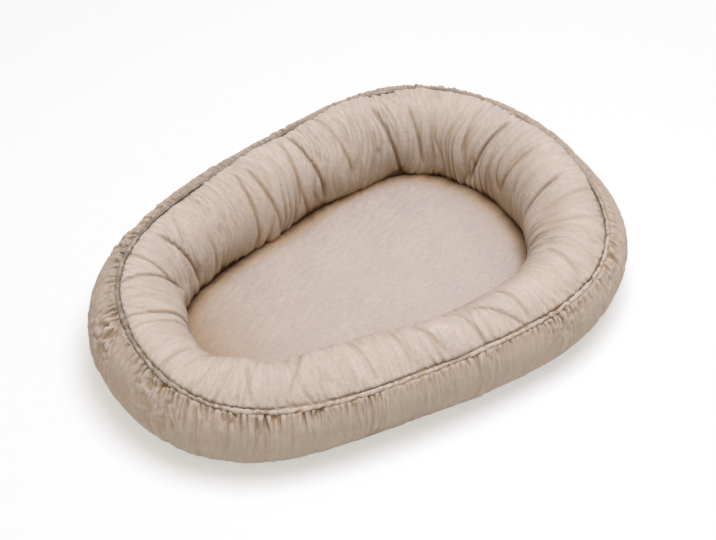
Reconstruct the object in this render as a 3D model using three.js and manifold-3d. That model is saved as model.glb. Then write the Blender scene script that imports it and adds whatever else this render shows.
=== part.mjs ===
// Infant lounger: a closed, fibre-filled roll round a flat padded sleeping surface.
// Millimetres, +Z up. +X points to the wide head end, and the part rests on Z = 0.
import * as THREE from 'three';
import { mergeVertices } from 'three/addons/utils/BufferGeometryUtils.js';
import Module from 'manifold-3d';

const wasm = await Module();
wasm.setup();

// Overall sizes of the finished lounger
const overallLength = 850;
const overallWidth = 608;
const rollWidth = 132;
const rollHeight = 156;

// Plan shape of the roll's centre line: how much wider the head is, and how square
const eggShare = 0.157;
const squareShare = 0.15;
const pathSamples = 1440;

// Section of the roll, as places round it: 0 is outward, 90 the top, 180 the well
const lowerFullShare = 0.8;
const seamDentDepth = 7;
const seamDentAngle = 41;
const seamDentHalfAngle = 14;
const dentFlatShare = 0.5;
const dentReachShare = 1.4;
const topShares = [0.16, 0.34, 0.54, 0.76];
const sideShares = [0.34, 0.65];
const hiddenShares = [0.34, 0.67];

// The outer seam lies lowest on the -Y side. It climbs towards the +Y side, by degrees
// round the section, and has climbed fully at a share of the way across.
const seamClimb = 32;
const climbReachShare = 0.61;

// Clearance between touching pieces
const gap = 0.3;

// Fabrics and fillings
const coverThickness = 1.6;
const linerThickness = 1;
const endCapThickness = 1.5;
const basePanelThickness = 3;
const mattressThickness = 21;
const mattressEdgeRound = 4;
const mattressInsetShare = 0.975;
const waddingThickness = 6;
const sleepPanelThickness = 2;
const sleepCrown = 5;
const crownShares = [0.45, 0.78, 1];

// Creases that the gathering presses into the crown of the roll
const creaseDepth = 7;
const creaseHalfWidth = 10.8;
const puffHeight = 1.5;
const longestSpan = 68;
const creaseShares = [
  { at: 0.005, deep: 0.5 },
  { at: 0.04, deep: 1 },
  { at: 0.12, deep: 0.6 },
  { at: 0.147, deep: 1 },
  { at: 0.205, deep: 0.5 },
  { at: 0.234, deep: 1 },
  { at: 0.254, deep: 0.6 },
  { at: 0.292, deep: 0.6 },
  { at: 0.382, deep: 0.9 },
  { at: 0.414, deep: 0.55 },
  { at: 0.436, deep: 0.7 },
  { at: 0.477, deep: 0.8 },
  { at: 0.528, deep: 0.5 },
  { at: 0.59, deep: 0.45 },
  { at: 0.676, deep: 0.55 },
  { at: 0.705, deep: 0.45 },
  { at: 0.73, deep: 0.55 },
  { at: 0.761, deep: 0.8 },
  { at: 0.79, deep: 0.65 },
  { at: 0.858, deep: 0.45 },
  { at: 0.907, deep: 0.4 },
  { at: 0.952, deep: 0.9 },
];
const creaseAtSeamShare = 0.35;

// Gathered casing with its elastic, in the dent where the two covers meet
const casingWidth = 10;
const casingHeight = 6;
const casingThickness = 1;
const casingMouthShare = 0.4;
const elasticWidth = 3.8;
const elasticThickness = 1;

// Tape that holds the gathers along the inner seam
const stayTapeWidth = 6;
const stayTapeThickness = 1.2;

// Zip in the middle of the base, in a shallow channel that keeps it off the floor
const zipLength = 400;
const zipCentre = 0;
const zipEndMargin = 20;
const channelRise = 9;
const channelWallWidth = 30;
const channelClearance = 3;
const slotClearance = 1.5;
const slabArcSteps = 8;
const tapeThickness = 0.6;
const tapeWidth = 13;
const tapeGap = 2.4;
const tapeTail = 12;
const coilDiameter = 2.4;
const coilPitchGap = 0.5;
const coilSides = 6;

// Zip slider and its pull
const sliderLength = 12;
const sliderPlate = 1.4;
const sliderInnerPlate = 1;
const sliderFlange = 1;
const wedgeWidth = 1.8;
const wedgeLength = 3.4;
const bailOpening = 2.4;
const bailLength = 8.4;
const bailThickness = 1.2;
const bailWidth = 1.6;
const pullLength = 27;
const pullWidth = 8;
const pullThickness = 1.4;
const pullEyeLength = 5.4;
const pullEyeWidth = 2.8;
const stopLength = 2.6;
const stopWeb = 0.5;

// How far a cutting solid runs past what it cuts
const overrun = 1;

// Colours
const coverColour = 0xd2c1b3;
const sideColour = 0xc3b09f;
const liningColour = 0xe9e4dc;
const fillColour = 0xf4f2ee;
const foamColour = 0xf0e7cf;
const metalColour = 0xb9a692;
const clothRoughness = 0.95;
const metalRoughness = 0.4;

const degrees = Math.PI / 180;

// Centre line of the roll, seen from above

const pathHalfLength = (overallLength - rollWidth) / 2;
const pathHalfWidth = (overallWidth - rollWidth) / 2;

function eggHeight(turn) {
  const shape = 1 + eggShare * Math.cos(turn) + squareShare * Math.cos(2 * turn);
  return Math.sin(turn) * shape;
}

function eggSlope(turn) {
  const shape = 1 + eggShare * Math.cos(turn) + squareShare * Math.cos(2 * turn);
  const change = -eggShare * Math.sin(turn) - 2 * squareShare * Math.sin(2 * turn);
  return Math.cos(turn) * shape + Math.sin(turn) * change;
}

const sampleTurns = Array.from({ length: pathSamples + 1 }, (_, i) => (2 * Math.PI * i) / pathSamples);
const eggPeak = Math.max(...sampleTurns.map(eggHeight));
const pathScaleY = pathHalfWidth / eggPeak;

function pathPoint(turn) {
  return [pathHalfLength * Math.cos(turn), pathScaleY * eggHeight(turn)];
}

const runLengths = [0];
for (let i = 1; i <= pathSamples; i += 1) {
  const [x0, y0] = pathPoint(sampleTurns[i - 1]);
  const [x1, y1] = pathPoint(sampleTurns[i]);
  runLengths.push(runLengths[i - 1] + Math.hypot(x1 - x0, y1 - y0));
}
const pathLength = runLengths[pathSamples];

function climbTowards(outY) {
  const part = Math.min((1 + outY) / 2 / climbReachShare, 1);
  const eased = part * part * (3 - 2 * part);
  return (seamClimb * (part + eased)) / 2;
}

// A place on the centre line, by its share of the way round from the head end
function placeAt(share) {
  const run = (share - Math.floor(share)) * pathLength;
  let i = 1;
  while (i < pathSamples && runLengths[i] < run) i += 1;
  const part = (run - runLengths[i - 1]) / (runLengths[i] - runLengths[i - 1]);
  const turn = sampleTurns[i - 1] + part * (sampleTurns[i] - sampleTurns[i - 1]);
  const [x, y] = pathPoint(turn);
  const alongX = -pathHalfLength * Math.sin(turn);
  const alongY = pathScaleY * eggSlope(turn);
  const size = Math.hypot(alongX, alongY);
  const [outX, outY] = [alongY / size, -alongX / size];
  return { share, x, y, outX, outY, climb: climbTowards(outY) };
}

// Stations: each crease has its valley and two shoulders, and long spans are divided

function makeStations() {
  const shoulder = creaseHalfWidth / pathLength;
  const stations = [];
  creaseShares.forEach((crease, i) => {
    const next = creaseShares[(i + 1) % creaseShares.length];
    const nextAt = next.at + (next.at > crease.at ? 0 : 1);
    const reach = Math.min(shoulder, (nextAt - crease.at) / 3);
    stations.push({ ...placeAt(crease.at - shoulder), sink: 0 });
    stations.push({ ...placeAt(crease.at), sink: crease.deep * creaseDepth });
    stations.push({ ...placeAt(crease.at + reach), sink: 0 });
    const start = crease.at + reach;
    const end = nextAt - shoulder;
    const pieces = Math.ceil(((end - start) * pathLength) / longestSpan);
    for (let k = 1; k < pieces; k += 1) {
      const share = start + ((end - start) * k) / pieces;
      stations.push({ ...placeAt(share), sink: -puffHeight });
    }
  });
  return stations;
}

const stations = makeStations();

// Section of the roll

const halfWidth = rollWidth / 2;
const halfHeight = rollHeight / 2;

function seamDent(angle) {
  const away = Math.abs(angle - seamDentAngle) / seamDentHalfAngle;
  const outside = Math.max(away - dentFlatShare, 0) / (1 - dentFlatShare);
  return seamDentDepth * Math.exp(-outside * outside);
}

function surfaceNormal(angle) {
  const outward = Math.cos(angle * degrees) / halfWidth;
  const upward = Math.sin(angle * degrees) / halfHeight;
  const size = Math.hypot(outward, upward);
  return [outward / size, upward / size];
}

// The true place round the section of an angle: the climb is full at the outer seam
// and fades out towards the inner seam and the base seam
function climbedAngle(angle, climb) {
  const end = angle > seamDentAngle ? innerSeamAngle : baseSeamAngle;
  return angle + climb * Math.max((angle - end) / (seamDentAngle - end), 0);
}

// A point of the section, inset from the roll's outer surface and never below a level
function sectionPoint(angle, inset, level = 0, climb = 0) {
  const turned = climbedAngle(angle, climb);
  const cosine = Math.cos(turned * degrees);
  const sine = Math.sin(turned * degrees);
  const fullness = sine < 0 ? lowerFullShare : 1;
  const outward = halfWidth * Math.sign(cosine) * Math.abs(cosine) ** fullness;
  const height = halfHeight * (1 + sine);
  const [normalOut, normalUp] = surfaceNormal(turned);
  const depth = inset + seamDent(angle);
  return [outward - depth * normalOut, Math.max(height - depth * normalUp, level)];
}

// Angle below the widest level at which the roll's surface stands at a height
function angleBelow(height) {
  return Math.asin((halfHeight - height) / halfHeight) / degrees;
}

// Turn round the section that a length along its surface takes
function turnFor(length) {
  return length / halfWidth / degrees;
}

const basePanelTop = basePanelThickness;
const mattressBottom = basePanelTop + gap;
const mattressTop = mattressBottom + mattressThickness;
const waddingBottom = mattressTop + gap;
const waddingTop = waddingBottom + waddingThickness;
const sleepPanelBottom = waddingTop + gap;
const sleepPanelTop = sleepPanelBottom + sleepPanelThickness;
const innerSeamHeight = sleepPanelTop + gap;

const splitAngle = seamDentAngle;
const splitHalfTurn = turnFor(gap);
const innerSeamAngle = 180 + angleBelow(innerSeamHeight);
const baseSeamAngle = -angleBelow(basePanelTop + gap);
const dentEdge = seamDentHalfAngle * dentFlatShare;

function between(start, end, share) {
  return start + (end - start) * share;
}

const topStart = seamDentAngle + seamDentHalfAngle * dentReachShare;
const topAngles = [
  splitAngle + splitHalfTurn,
  splitAngle + dentEdge,
  topStart,
  ...topShares.map((share) => between(topStart, innerSeamAngle, share)),
  innerSeamAngle,
];
const sideStart = seamDentAngle - seamDentHalfAngle * dentReachShare;
const sideAngles = [
  splitAngle - splitHalfTurn,
  splitAngle - dentEdge,
  sideStart,
  ...sideShares.map((share) => between(sideStart, baseSeamAngle, share)),
  baseSeamAngle,
];
const hiddenAngles = hiddenShares.map((share) => between(innerSeamAngle, 360 + baseSeamAngle, share));
const ringAngles = [
  ...topAngles.slice(1),
  ...hiddenAngles,
  ...sideAngles.slice(1).reverse(),
];

// How far a station sinks or puffs there: creases reach the seams, puffs fade out at them
function sinkAt(station, angle) {
  if (angle > innerSeamAngle || angle <= sideStart) return 0;
  const share = Math.max((angle - splitAngle) / (innerSeamAngle - splitAngle), 0);
  const rise = Math.sin(Math.PI * share);
  const held = station.sink > 0 ? creaseAtSeamShare : 0;
  return station.sink * (held + (1 - held) * rise);
}

// Solids from rings of points

function toWorld(station, [outward, z]) {
  return [station.x + station.outX * outward, station.y + station.outY * outward, z];
}

function geometryFrom(points, faces) {
  const geometry = new THREE.BufferGeometry();
  geometry.setAttribute('position', new THREE.Float32BufferAttribute(points.flat(), 3));
  geometry.setIndex(faces.flat());
  return geometry;
}

// Faces between two loops. Where a loop runs backward its faces split the other way,
// so that layers which lie on each other have their facets alike.
function stripFaces(lower, upper, count, runsBackward = () => false) {
  const faces = [];
  for (let j = 0; j < count; j += 1) {
    const k = (j + 1) % count;
    const [a, b, c, d] = [lower + j, upper + j, upper + k, lower + k];
    if (runsBackward(j)) faces.push([a, b, d], [b, c, d]);
    else faces.push([a, b, c], [a, c, d]);
  }
  return faces;
}

function turnedOver(faces) {
  return faces.map(([a, b, c]) => [a, c, b]);
}

function loopsAlong(places, loopAt) {
  return places.map((place) => loopAt(place).map((point) => toWorld(place, point)));
}

// One closed section loop carried right round the ring
function ringBody(loopAt, runsBackward) {
  const loops = loopsAlong(stations, loopAt);
  const count = loops[0].length;
  const faces = loops.flatMap((_, i) => {
    const next = (i + 1) % loops.length;
    return stripFaces(i * count, next * count, count, runsBackward);
  });
  return geometryFrom(loops.flat(), faces);
}

function fanFaces(first, count, centre) {
  return Array.from({ length: count }, (_, j) => [first + j, first + ((j + 1) % count), centre]);
}

function middleOf(loop) {
  const sum = loop.reduce((total, point) => total.map((value, i) => value + point[i]), [0, 0, 0]);
  return sum.map((value) => value / loop.length);
}

// A loop carried along an open run of stations, closed at both ends
function closedRun(loops) {
  const count = loops[0].length;
  const points = loops.flat();
  const faces = [];
  for (let i = 0; i < loops.length - 1; i += 1) {
    faces.push(...stripFaces(i * count, (i + 1) * count, count));
  }
  const endFirst = (loops.length - 1) * count;
  faces.push(...fanFaces(0, count, points.length));
  faces.push(...turnedOver(fanFaces(endFirst, count, points.length + 1)));
  points.push(middleOf(loops[0]), middleOf(loops[loops.length - 1]));
  return [points, faces];
}

function openBody(loopAt, places) {
  return geometryFrom(...closedRun(loopsAlong(places, loopAt)));
}

// A hose along an open run of stations, with its bore open at both ends
function openHose(outerAt, innerAt, places) {
  const outer = loopsAlong(places, outerAt);
  const inner = loopsAlong(places, innerAt);
  const count = outer[0].length;
  const size = outer.length * count;
  const faces = [];
  for (let i = 0; i < outer.length - 1; i += 1) {
    faces.push(...stripFaces(i * count, (i + 1) * count, count));
    faces.push(...turnedOver(stripFaces(size + i * count, size + (i + 1) * count, count)));
  }
  const last = (outer.length - 1) * count;
  faces.push(...stripFaces(size, 0, count));
  faces.push(...stripFaces(last, size + last, count));
  return geometryFrom([...outer.flat(), ...inner.flat()], faces);
}

// A solid stacked from the plan outline: each level is a share of the outline and a height
function stackedBody(outward, levels) {
  const outline = stations.map((station) => toWorld(station, [outward, 0]));
  const count = outline.length;
  const rings = levels.slice(1, -1);
  const points = rings.flatMap(([share, z]) => outline.map(([x, y]) => [x * share, y * share, z]));
  const faces = [];
  for (let i = 0; i < rings.length - 1; i += 1) {
    faces.push(...stripFaces((i + 1) * count, i * count, count));
  }
  const endFirst = (rings.length - 1) * count;
  faces.push(...turnedOver(fanFaces(0, count, points.length)));
  faces.push(...fanFaces(endFirst, count, points.length + 1));
  points.push([0, 0, levels[0][1]], [0, 0, levels[levels.length - 1][1]]);
  return geometryFrom(points, faces);
}

// Joining and cutting

function toSolid(geometry) {
  const bare = geometry.clone();
  bare.deleteAttribute('normal');
  bare.deleteAttribute('uv');
  const merged = mergeVertices(bare);
  return new wasm.Manifold(new wasm.Mesh({
    numProp: 3,
    vertProperties: new Float32Array(merged.attributes.position.array),
    triVerts: new Uint32Array(merged.index.array),
  }));
}

function toGeometry(solid) {
  const mesh = solid.getMesh();
  const geometry = new THREE.BufferGeometry();
  geometry.setAttribute('position', new THREE.Float32BufferAttribute(mesh.vertProperties, 3));
  geometry.setIndex(Array.from(mesh.triVerts));
  return geometry;
}

function block(lowX, highX, lowY, highY, lowZ, highZ) {
  const box = new THREE.BoxGeometry(highX - lowX, highY - lowY, highZ - lowZ);
  box.translate((lowX + highX) / 2, (lowY + highY) / 2, (lowZ + highZ) / 2);
  return toSolid(box);
}

// An upright slab with round ends, along X
function longSlab(lowX, highX, width, lowZ, highZ) {
  const radius = width / 2;
  const shape = new THREE.Shape();
  shape.absarc(highX - radius, 0, radius, -Math.PI / 2, Math.PI / 2, false);
  shape.absarc(lowX + radius, 0, radius, Math.PI / 2, (3 * Math.PI) / 2, false);
  const settings = { depth: highZ - lowZ, bevelEnabled: false, curveSegments: slabArcSteps };
  const slab = new THREE.ExtrudeGeometry(shape, settings);
  slab.translate(0, 0, lowZ);
  return toSolid(slab);
}

// Covers of the roll

function layerPoints(station, angles, inset, level = 0) {
  return angles.map((angle) => {
    return sectionPoint(angle, inset + sinkAt(station, angle), level, station.climb);
  });
}

function topCoverLoop(station) {
  const outside = layerPoints(station, topAngles, 0);
  const inside = layerPoints(station, topAngles, coverThickness);
  return [...outside, ...inside.reverse()];
}

function sideCoverLoop(station) {
  const outside = layerPoints(station, sideAngles, 0);
  const inside = layerPoints(station, sideAngles, coverThickness);
  return [...inside, ...outside.reverse()];
}

// Places in the seam dent, by their distance along the surface and height above the covers
function dentPlaces(station, places) {
  const [normalOut, normalUp] = surfaceNormal(climbedAngle(splitAngle, station.climb));
  return places.map(([across, rise]) => {
    const [outward, z] = sectionPoint(splitAngle, -gap - rise, 0, station.climb);
    return [outward - across * normalUp, z + across * normalOut];
  });
}

function casingLoop(station) {
  const half = casingWidth / 2;
  const mouth = half * casingMouthShare;
  const middle = casingHeight / 2;
  const wall = casingThickness;
  return dentPlaces(station, [
    [-mouth, 0],
    [-half, middle],
    [0, casingHeight],
    [half, middle],
    [mouth, 0],
    [mouth, wall],
    [half - wall, middle],
    [0, casingHeight - wall],
    [wall - half, middle],
    [-mouth, wall],
  ]);
}

function elasticLoop(station) {
  const half = elasticWidth / 2;
  const foot = casingThickness + gap;
  return dentPlaces(station, [
    [-half, foot],
    [-half, foot + elasticThickness],
    [half, foot + elasticThickness],
    [half, foot],
  ]);
}

function stayTapeLoop() {
  const start = innerSeamAngle + turnFor(gap * 2);
  const end = start + turnFor(stayTapeWidth);
  return [
    sectionPoint(start, gap),
    sectionPoint(end, gap),
    sectionPoint(end, gap + stayTapeThickness),
    sectionPoint(start, gap + stayTapeThickness),
  ];
}

// Filled inner tube: one long bolster, bent round so that its ends meet at the foot

const linerInset = coverThickness + gap;
const fillInset = linerInset + linerThickness + gap;
const bolsterLevel = basePanelTop + gap;
const footShare = 0.5;
const bolsterEndGap = gap / 2 + endCapThickness + gap;

function ringLoop(inset, level) {
  return (station) => layerPoints(station, ringAngles, inset, level);
}

// A place between two stations, on the straight run from one to the next
function stationBetween(share) {
  const next = stations.findIndex((station) => station.share > share);
  const [before, after] = [stations[next - 1], stations[next]];
  const part = (share - before.share) / (after.share - before.share);
  const mixed = {};
  for (const key of Object.keys(before)) {
    mixed[key] = before[key] + (after[key] - before[key]) * part;
  }
  return mixed;
}

function bolsterRun() {
  const endShare = bolsterEndGap / pathLength;
  const start = footShare + endShare;
  const end = footShare - endShare;
  return [
    stationBetween(start),
    ...stations.filter((station) => station.share > start + endShare),
    ...stations.filter((station) => station.share < end - endShare),
    stationBetween(end),
  ];
}

function bolsterCap(side) {
  const near = (gap / 2) / pathLength;
  const far = (gap / 2 + endCapThickness) / pathLength;
  const shares = side > 0 ? [footShare + near, footShare + far] : [footShare - far, footShare - near];
  return openBody(ringLoop(linerInset, bolsterLevel), shares.map(stationBetween));
}

function bolsterLiner() {
  return openHose(
    ringLoop(linerInset, bolsterLevel),
    ringLoop(linerInset + linerThickness, bolsterLevel + linerThickness),
    bolsterRun(),
  );
}

function bolsterFill() {
  return openBody(ringLoop(fillInset, bolsterLevel + linerThickness + gap), bolsterRun());
}

// Zip levels, from the floor upward, and its places along X

const channelTop = channelRise + basePanelThickness;
const tapeBottom = channelTop + gap;
const tapeTop = tapeBottom + tapeThickness;
const coilTop = tapeBottom - gap;
const coilBottom = coilTop - coilDiameter;
const innerPlateBottom = tapeTop + gap;
const innerPlateTop = innerPlateBottom + sliderInnerPlate;
const plateTop = coilBottom - gap;
const plateBottom = plateTop - sliderPlate;

const zipStart = zipCentre - zipLength / 2;
const zipEnd = zipCentre + zipLength / 2;
const closedCoilY = (coilPitchGap + coilDiameter) / 2;
const partedCoilY = wedgeWidth / 2 + gap + coilDiameter / 2;
const flangeInside = partedCoilY + coilDiameter / 2 + gap;
const sliderHalfWidth = flangeInside + sliderFlange;
const slotWidth = 2 * (sliderHalfWidth + slotClearance);
const sliderStart = zipStart + stopLength + gap;
const pinX = sliderStart + sliderLength / 2;
const pinZ = plateBottom - bailOpening / 2;

const channelStart = zipStart - zipEndMargin;
const channelEnd = zipEnd + zipEndMargin;
const channelWidth = Math.max(channelWallWidth, slotWidth + 2 * channelClearance);

// The floor panel, wide enough to close under the side cover's lower edge
function basePanel() {
  const outward = sectionPoint(baseSeamAngle, 0)[0] + coverThickness;
  const sheet = toSolid(stackedBody(outward, [[0, 0], [1, 0], [1, basePanelTop], [0, basePanelTop]]));
  const outerStart = channelStart - basePanelThickness;
  const outerEnd = channelEnd + basePanelThickness;
  const outerWidth = channelWidth + 2 * basePanelThickness;
  const tub = longSlab(outerStart, outerEnd, outerWidth, 0, channelTop);
  const hollow = longSlab(channelStart, channelEnd, channelWidth, -overrun, channelRise);
  const slotEnd = slotWidth / 2;
  const slot = longSlab(zipStart - slotEnd, zipEnd + slotEnd, slotWidth, 0, channelTop + overrun);
  return toGeometry(sheet.add(tub).subtract(hollow).subtract(slot));
}

// The foam sleeping pad, grooved underneath over the zip's channel
function mattressCore() {
  const outward = sectionPoint(180 + angleBelow(mattressTop), 0)[0] - gap;
  const body = toSolid(stackedBody(outward, [
    [0, mattressBottom],
    [mattressInsetShare, mattressBottom],
    [1, mattressBottom + mattressEdgeRound],
    [1, mattressTop - mattressEdgeRound],
    [mattressInsetShare, mattressTop],
    [0, mattressTop],
  ]));
  const wall = basePanelThickness + gap;
  const groove = longSlab(
    channelStart - wall,
    channelEnd + wall,
    channelWidth + 2 * wall,
    0,
    innerPlateTop + gap,
  );
  return toGeometry(body.subtract(groove));
}

// A crowned sheet over the mattress, from the flat or crowned level below it
function crownedBody(outward, bottom, top, bottomCrown) {
  const crownAt = (share) => 1 - share ** 2;
  const under = crownShares.map((share) => [share, bottom + bottomCrown * crownAt(share)]);
  const over = crownShares.map((share) => [share, top + sleepCrown * crownAt(share)]).reverse();
  return stackedBody(outward, [[0, bottom + bottomCrown], ...under, ...over, [0, top + sleepCrown]]);
}

function mattressWadding() {
  const outward = sectionPoint(180 + angleBelow(waddingTop), 0)[0] - gap;
  return crownedBody(outward, waddingBottom, waddingTop, 0);
}

function sleepPanel() {
  const outward = sectionPoint(innerSeamAngle, 0)[0] - gap;
  return crownedBody(outward, sleepPanelBottom, sleepPanelTop, sleepCrown);
}

// Zip, closed at rest: the slider stands at the foot end, against the top stops

function zipTape(side) {
  const near = (side * tapeGap) / 2;
  const far = side * (tapeGap / 2 + tapeWidth);
  const low = Math.min(near, far);
  const high = Math.max(near, far);
  return toGeometry(block(zipStart - tapeTail, zipEnd + tapeTail, low, high, tapeBottom, tapeTop));
}

function zipCoil(side) {
  const radius = coilDiameter / 2;
  const middle = (coilTop + coilBottom) / 2;
  const wedgeEnd = sliderStart + wedgeLength;
  const path = [
    [zipStart + stopLength + gap, partedCoilY],
    [wedgeEnd, partedCoilY],
    [sliderStart + sliderLength, closedCoilY],
    [zipCentre, closedCoilY],
    [zipEnd - stopLength - gap, closedCoilY],
  ];
  const loops = path.map(([x, y]) => Array.from({ length: coilSides }, (_, i) => {
    const turn = (2 * Math.PI * i) / coilSides;
    return [x, side * y - radius * Math.cos(turn), middle + radius * Math.sin(turn)];
  }));
  return geometryFrom(...closedRun(loops));
}

function zipTopStop(side) {
  const start = zipStart;
  const end = start + stopLength;
  const near = tapeGap / 2 - gap - stopWeb;
  const far = partedCoilY + coilDiameter / 2;
  const low = Math.min(side * near, side * far);
  const high = Math.max(side * near, side * far);
  const body = block(start, end, low, high, coilBottom, innerPlateTop);
  const tapeNear = tapeGap / 2 - gap;
  const cutLow = Math.min(side * tapeNear, side * (far + overrun));
  const cutHigh = Math.max(side * tapeNear, side * (far + overrun));
  const cut = block(start - overrun, end + overrun, cutLow, cutHigh, tapeBottom - gap, tapeTop + gap);
  return toGeometry(body.subtract(cut));
}

function zipBottomStop() {
  const start = zipEnd - stopLength;
  const end = zipEnd;
  const half = closedCoilY + coilDiameter / 2;
  const body = block(start, end, -half, half, coilBottom, innerPlateTop);
  const web = tapeGap / 2 - gap;
  const cutFor = (low, high) => {
    return block(start - overrun, end + overrun, low, high, tapeBottom - gap, tapeTop + gap);
  };
  return toGeometry(body.subtract(cutFor(web, half + overrun)).subtract(cutFor(-half - overrun, -web)));
}

// The loop under the slider that holds the pull
function sliderBail() {
  const halfLength = bailLength / 2;
  const halfWide = bailWidth / 2;
  const eyeBottom = plateBottom - bailOpening;
  const eyeHalf = halfLength - bailThickness;
  const bar = block(
    pinX - halfLength,
    pinX + halfLength,
    -halfWide,
    halfWide,
    eyeBottom - bailThickness,
    plateTop,
  );
  return bar.subtract(block(pinX - eyeHalf, pinX + eyeHalf, -bailWidth, bailWidth, eyeBottom, plateBottom));
}

function zipSlider() {
  const start = sliderStart;
  const end = start + sliderLength;
  const half = sliderHalfWidth;
  const wedgeHalf = wedgeWidth / 2;
  const outer = block(start, end, -half, half, plateBottom, plateTop);
  const inner = block(start, end, -half, half, innerPlateBottom, innerPlateTop);
  const wedge = block(start, start + wedgeLength, -wedgeHalf, wedgeHalf, plateBottom, innerPlateTop);
  const flanges = [-1, 1].map((side) => {
    const low = Math.min(side * flangeInside, side * half);
    const high = Math.max(side * flangeInside, side * half);
    return block(start, end, low, high, plateBottom, coilTop);
  });
  const pieces = [inner, wedge, ...flanges, sliderBail()];
  return toGeometry(pieces.reduce((sum, piece) => sum.add(piece), outer));
}

function zipPull() {
  const low = pinZ - pullThickness / 2;
  const high = pinZ + pullThickness / 2;
  const start = pinX - pullThickness / 2;
  const body = longSlab(start, start + pullLength, pullWidth, low, high);
  const eyeStart = start + pullThickness;
  const headSquare = block(start, eyeStart, -pullEyeWidth, pullEyeWidth, low, high);
  const half = pullEyeWidth / 2;
  const eye = block(eyeStart, eyeStart + pullEyeLength, -half, half, low - overrun, high + overrun);
  return toGeometry(body.add(headSquare).subtract(eye));
}

// Assembly

const assembly = new THREE.Group();

function addPiece(name, geometry, color, roughness = clothRoughness, metalness = 0) {
  const material = new THREE.MeshStandardMaterial({ color, roughness, metalness });
  const mesh = new THREE.Mesh(geometry, material);
  mesh.name = name;
  assembly.add(mesh);
}

const topCover = ringBody(topCoverLoop, (j) => j >= topAngles.length);
const sideCover = ringBody(sideCoverLoop, (j) => j < sideAngles.length);
addPiece('bumper_top_cover', topCover, coverColour);
addPiece('bumper_side_cover', sideCover, sideColour);
addPiece('seam_casing', ringBody(casingLoop), coverColour);
addPiece('casing_elastic', ringBody(elasticLoop), liningColour);
addPiece('well_stay_tape', ringBody(stayTapeLoop), liningColour);
addPiece('bolster_liner', bolsterLiner(), liningColour);
addPiece('bolster_fill', bolsterFill(), fillColour);
addPiece('liner_end_left', bolsterCap(-1), liningColour);
addPiece('liner_end_right', bolsterCap(1), liningColour);
addPiece('sleep_panel', sleepPanel(), coverColour);
addPiece('mattress_wadding', mattressWadding(), fillColour);
addPiece('mattress_core', mattressCore(), foamColour);
addPiece('base_panel', basePanel(), sideColour);
for (const [side, label] of [[-1, 'right'], [1, 'left']]) {
  addPiece(`zip_tape_${label}`, zipTape(side), sideColour);
  addPiece(`zip_coil_${label}`, zipCoil(side), sideColour);
  addPiece(`zip_top_stop_${label}`, zipTopStop(side), metalColour, metalRoughness, 1);
}
addPiece('zip_bottom_stop', zipBottomStop(), metalColour, metalRoughness, 1);
addPiece('zip_slider', zipSlider(), metalColour, metalRoughness, 1);
addPiece('zip_pull', zipPull(), metalColour, metalRoughness, 1);

export default assembly;
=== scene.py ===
"""Infant lounger: the looks of a gathered muslin roll round a padded sleeping surface."""
import math

import bmesh
import bpy
import numpy as np
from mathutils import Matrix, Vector


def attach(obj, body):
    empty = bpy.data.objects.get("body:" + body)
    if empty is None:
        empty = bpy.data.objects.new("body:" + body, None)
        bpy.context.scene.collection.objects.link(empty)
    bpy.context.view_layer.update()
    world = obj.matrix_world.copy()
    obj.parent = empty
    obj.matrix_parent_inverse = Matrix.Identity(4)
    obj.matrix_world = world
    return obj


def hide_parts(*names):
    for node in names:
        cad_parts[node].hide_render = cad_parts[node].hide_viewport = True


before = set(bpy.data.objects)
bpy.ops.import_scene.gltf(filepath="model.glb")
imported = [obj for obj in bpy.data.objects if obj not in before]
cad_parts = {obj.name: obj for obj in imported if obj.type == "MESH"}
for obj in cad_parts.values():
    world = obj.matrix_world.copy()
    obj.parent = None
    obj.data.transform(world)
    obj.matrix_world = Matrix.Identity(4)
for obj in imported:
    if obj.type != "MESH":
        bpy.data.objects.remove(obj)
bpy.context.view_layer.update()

# Shape of the roll, as in the frame (metres, and degrees round the section:
# 0 is outward, 90 the top, 180 the well)
overall_length = 0.850
overall_width = 0.608
roll_width = 0.132
roll_height = 0.156
egg_share = 0.157
square_share = 0.15
lower_full_share = 0.8
seam_dent_depth = 0.0045
seam_angle = 41.0
seam_dent_half_angle = 5.0
dent_flat_share = 0.5
climb_most = 32.0
climb_reach_share = 0.61
path_samples = 4096
angle_samples = 1441
half_width = roll_width / 2
half_height = roll_height / 2

# Grid of the covers: cloth starts seam_half_angle beside the outer seam's middle, and the
# inner pieces follow the lowest cloth within inner_window degrees
crown_columns = 1120
side_columns = 1680
inner_columns = 560
seam_half_angle = 1.0
row_spacing = 0.0034
seam_row_spacing = 0.0013
seam_rows_reach = 0.012
inner_window = 7.0
seed = 11

# The cloth's links as columns and rows, with the strength of each, and its limits
LINKS = ((1, 0), (0, 1), (1, 1), (1, -1), (2, 0), (0, 2))
link_strengths = (1.0, 0.9, 0.35, 0.35, 0.12, 0.06)
link_eagerness = 1.6
deepest_sink = 0.022
highest_rise = 0.016

# How each cover settles: spare length, rounds, and its pull towards the filling
crown_settling = (1.02, 100, 0.05)
side_settling = (1.015, 60, 0.08)
gather_blur = (5, 2)

# Reach of the two sewn edges of each cover: outer seam, then well or base
crown_sewn = (0.003, 0.005)
side_sewn = (0.0022, 0.006)

# Clouds of strength: mean, spread, least, most, and their size in grid steps
crown_clouds = (0.75, 0.55, 0.1, 1.6, 16, 14)
crown_patches = (0.40, 0.7, 0, 1.7, 14, 9)
side_clouds = (0.8, 0.4, 0.2, 1.6, 12, 8)

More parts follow.
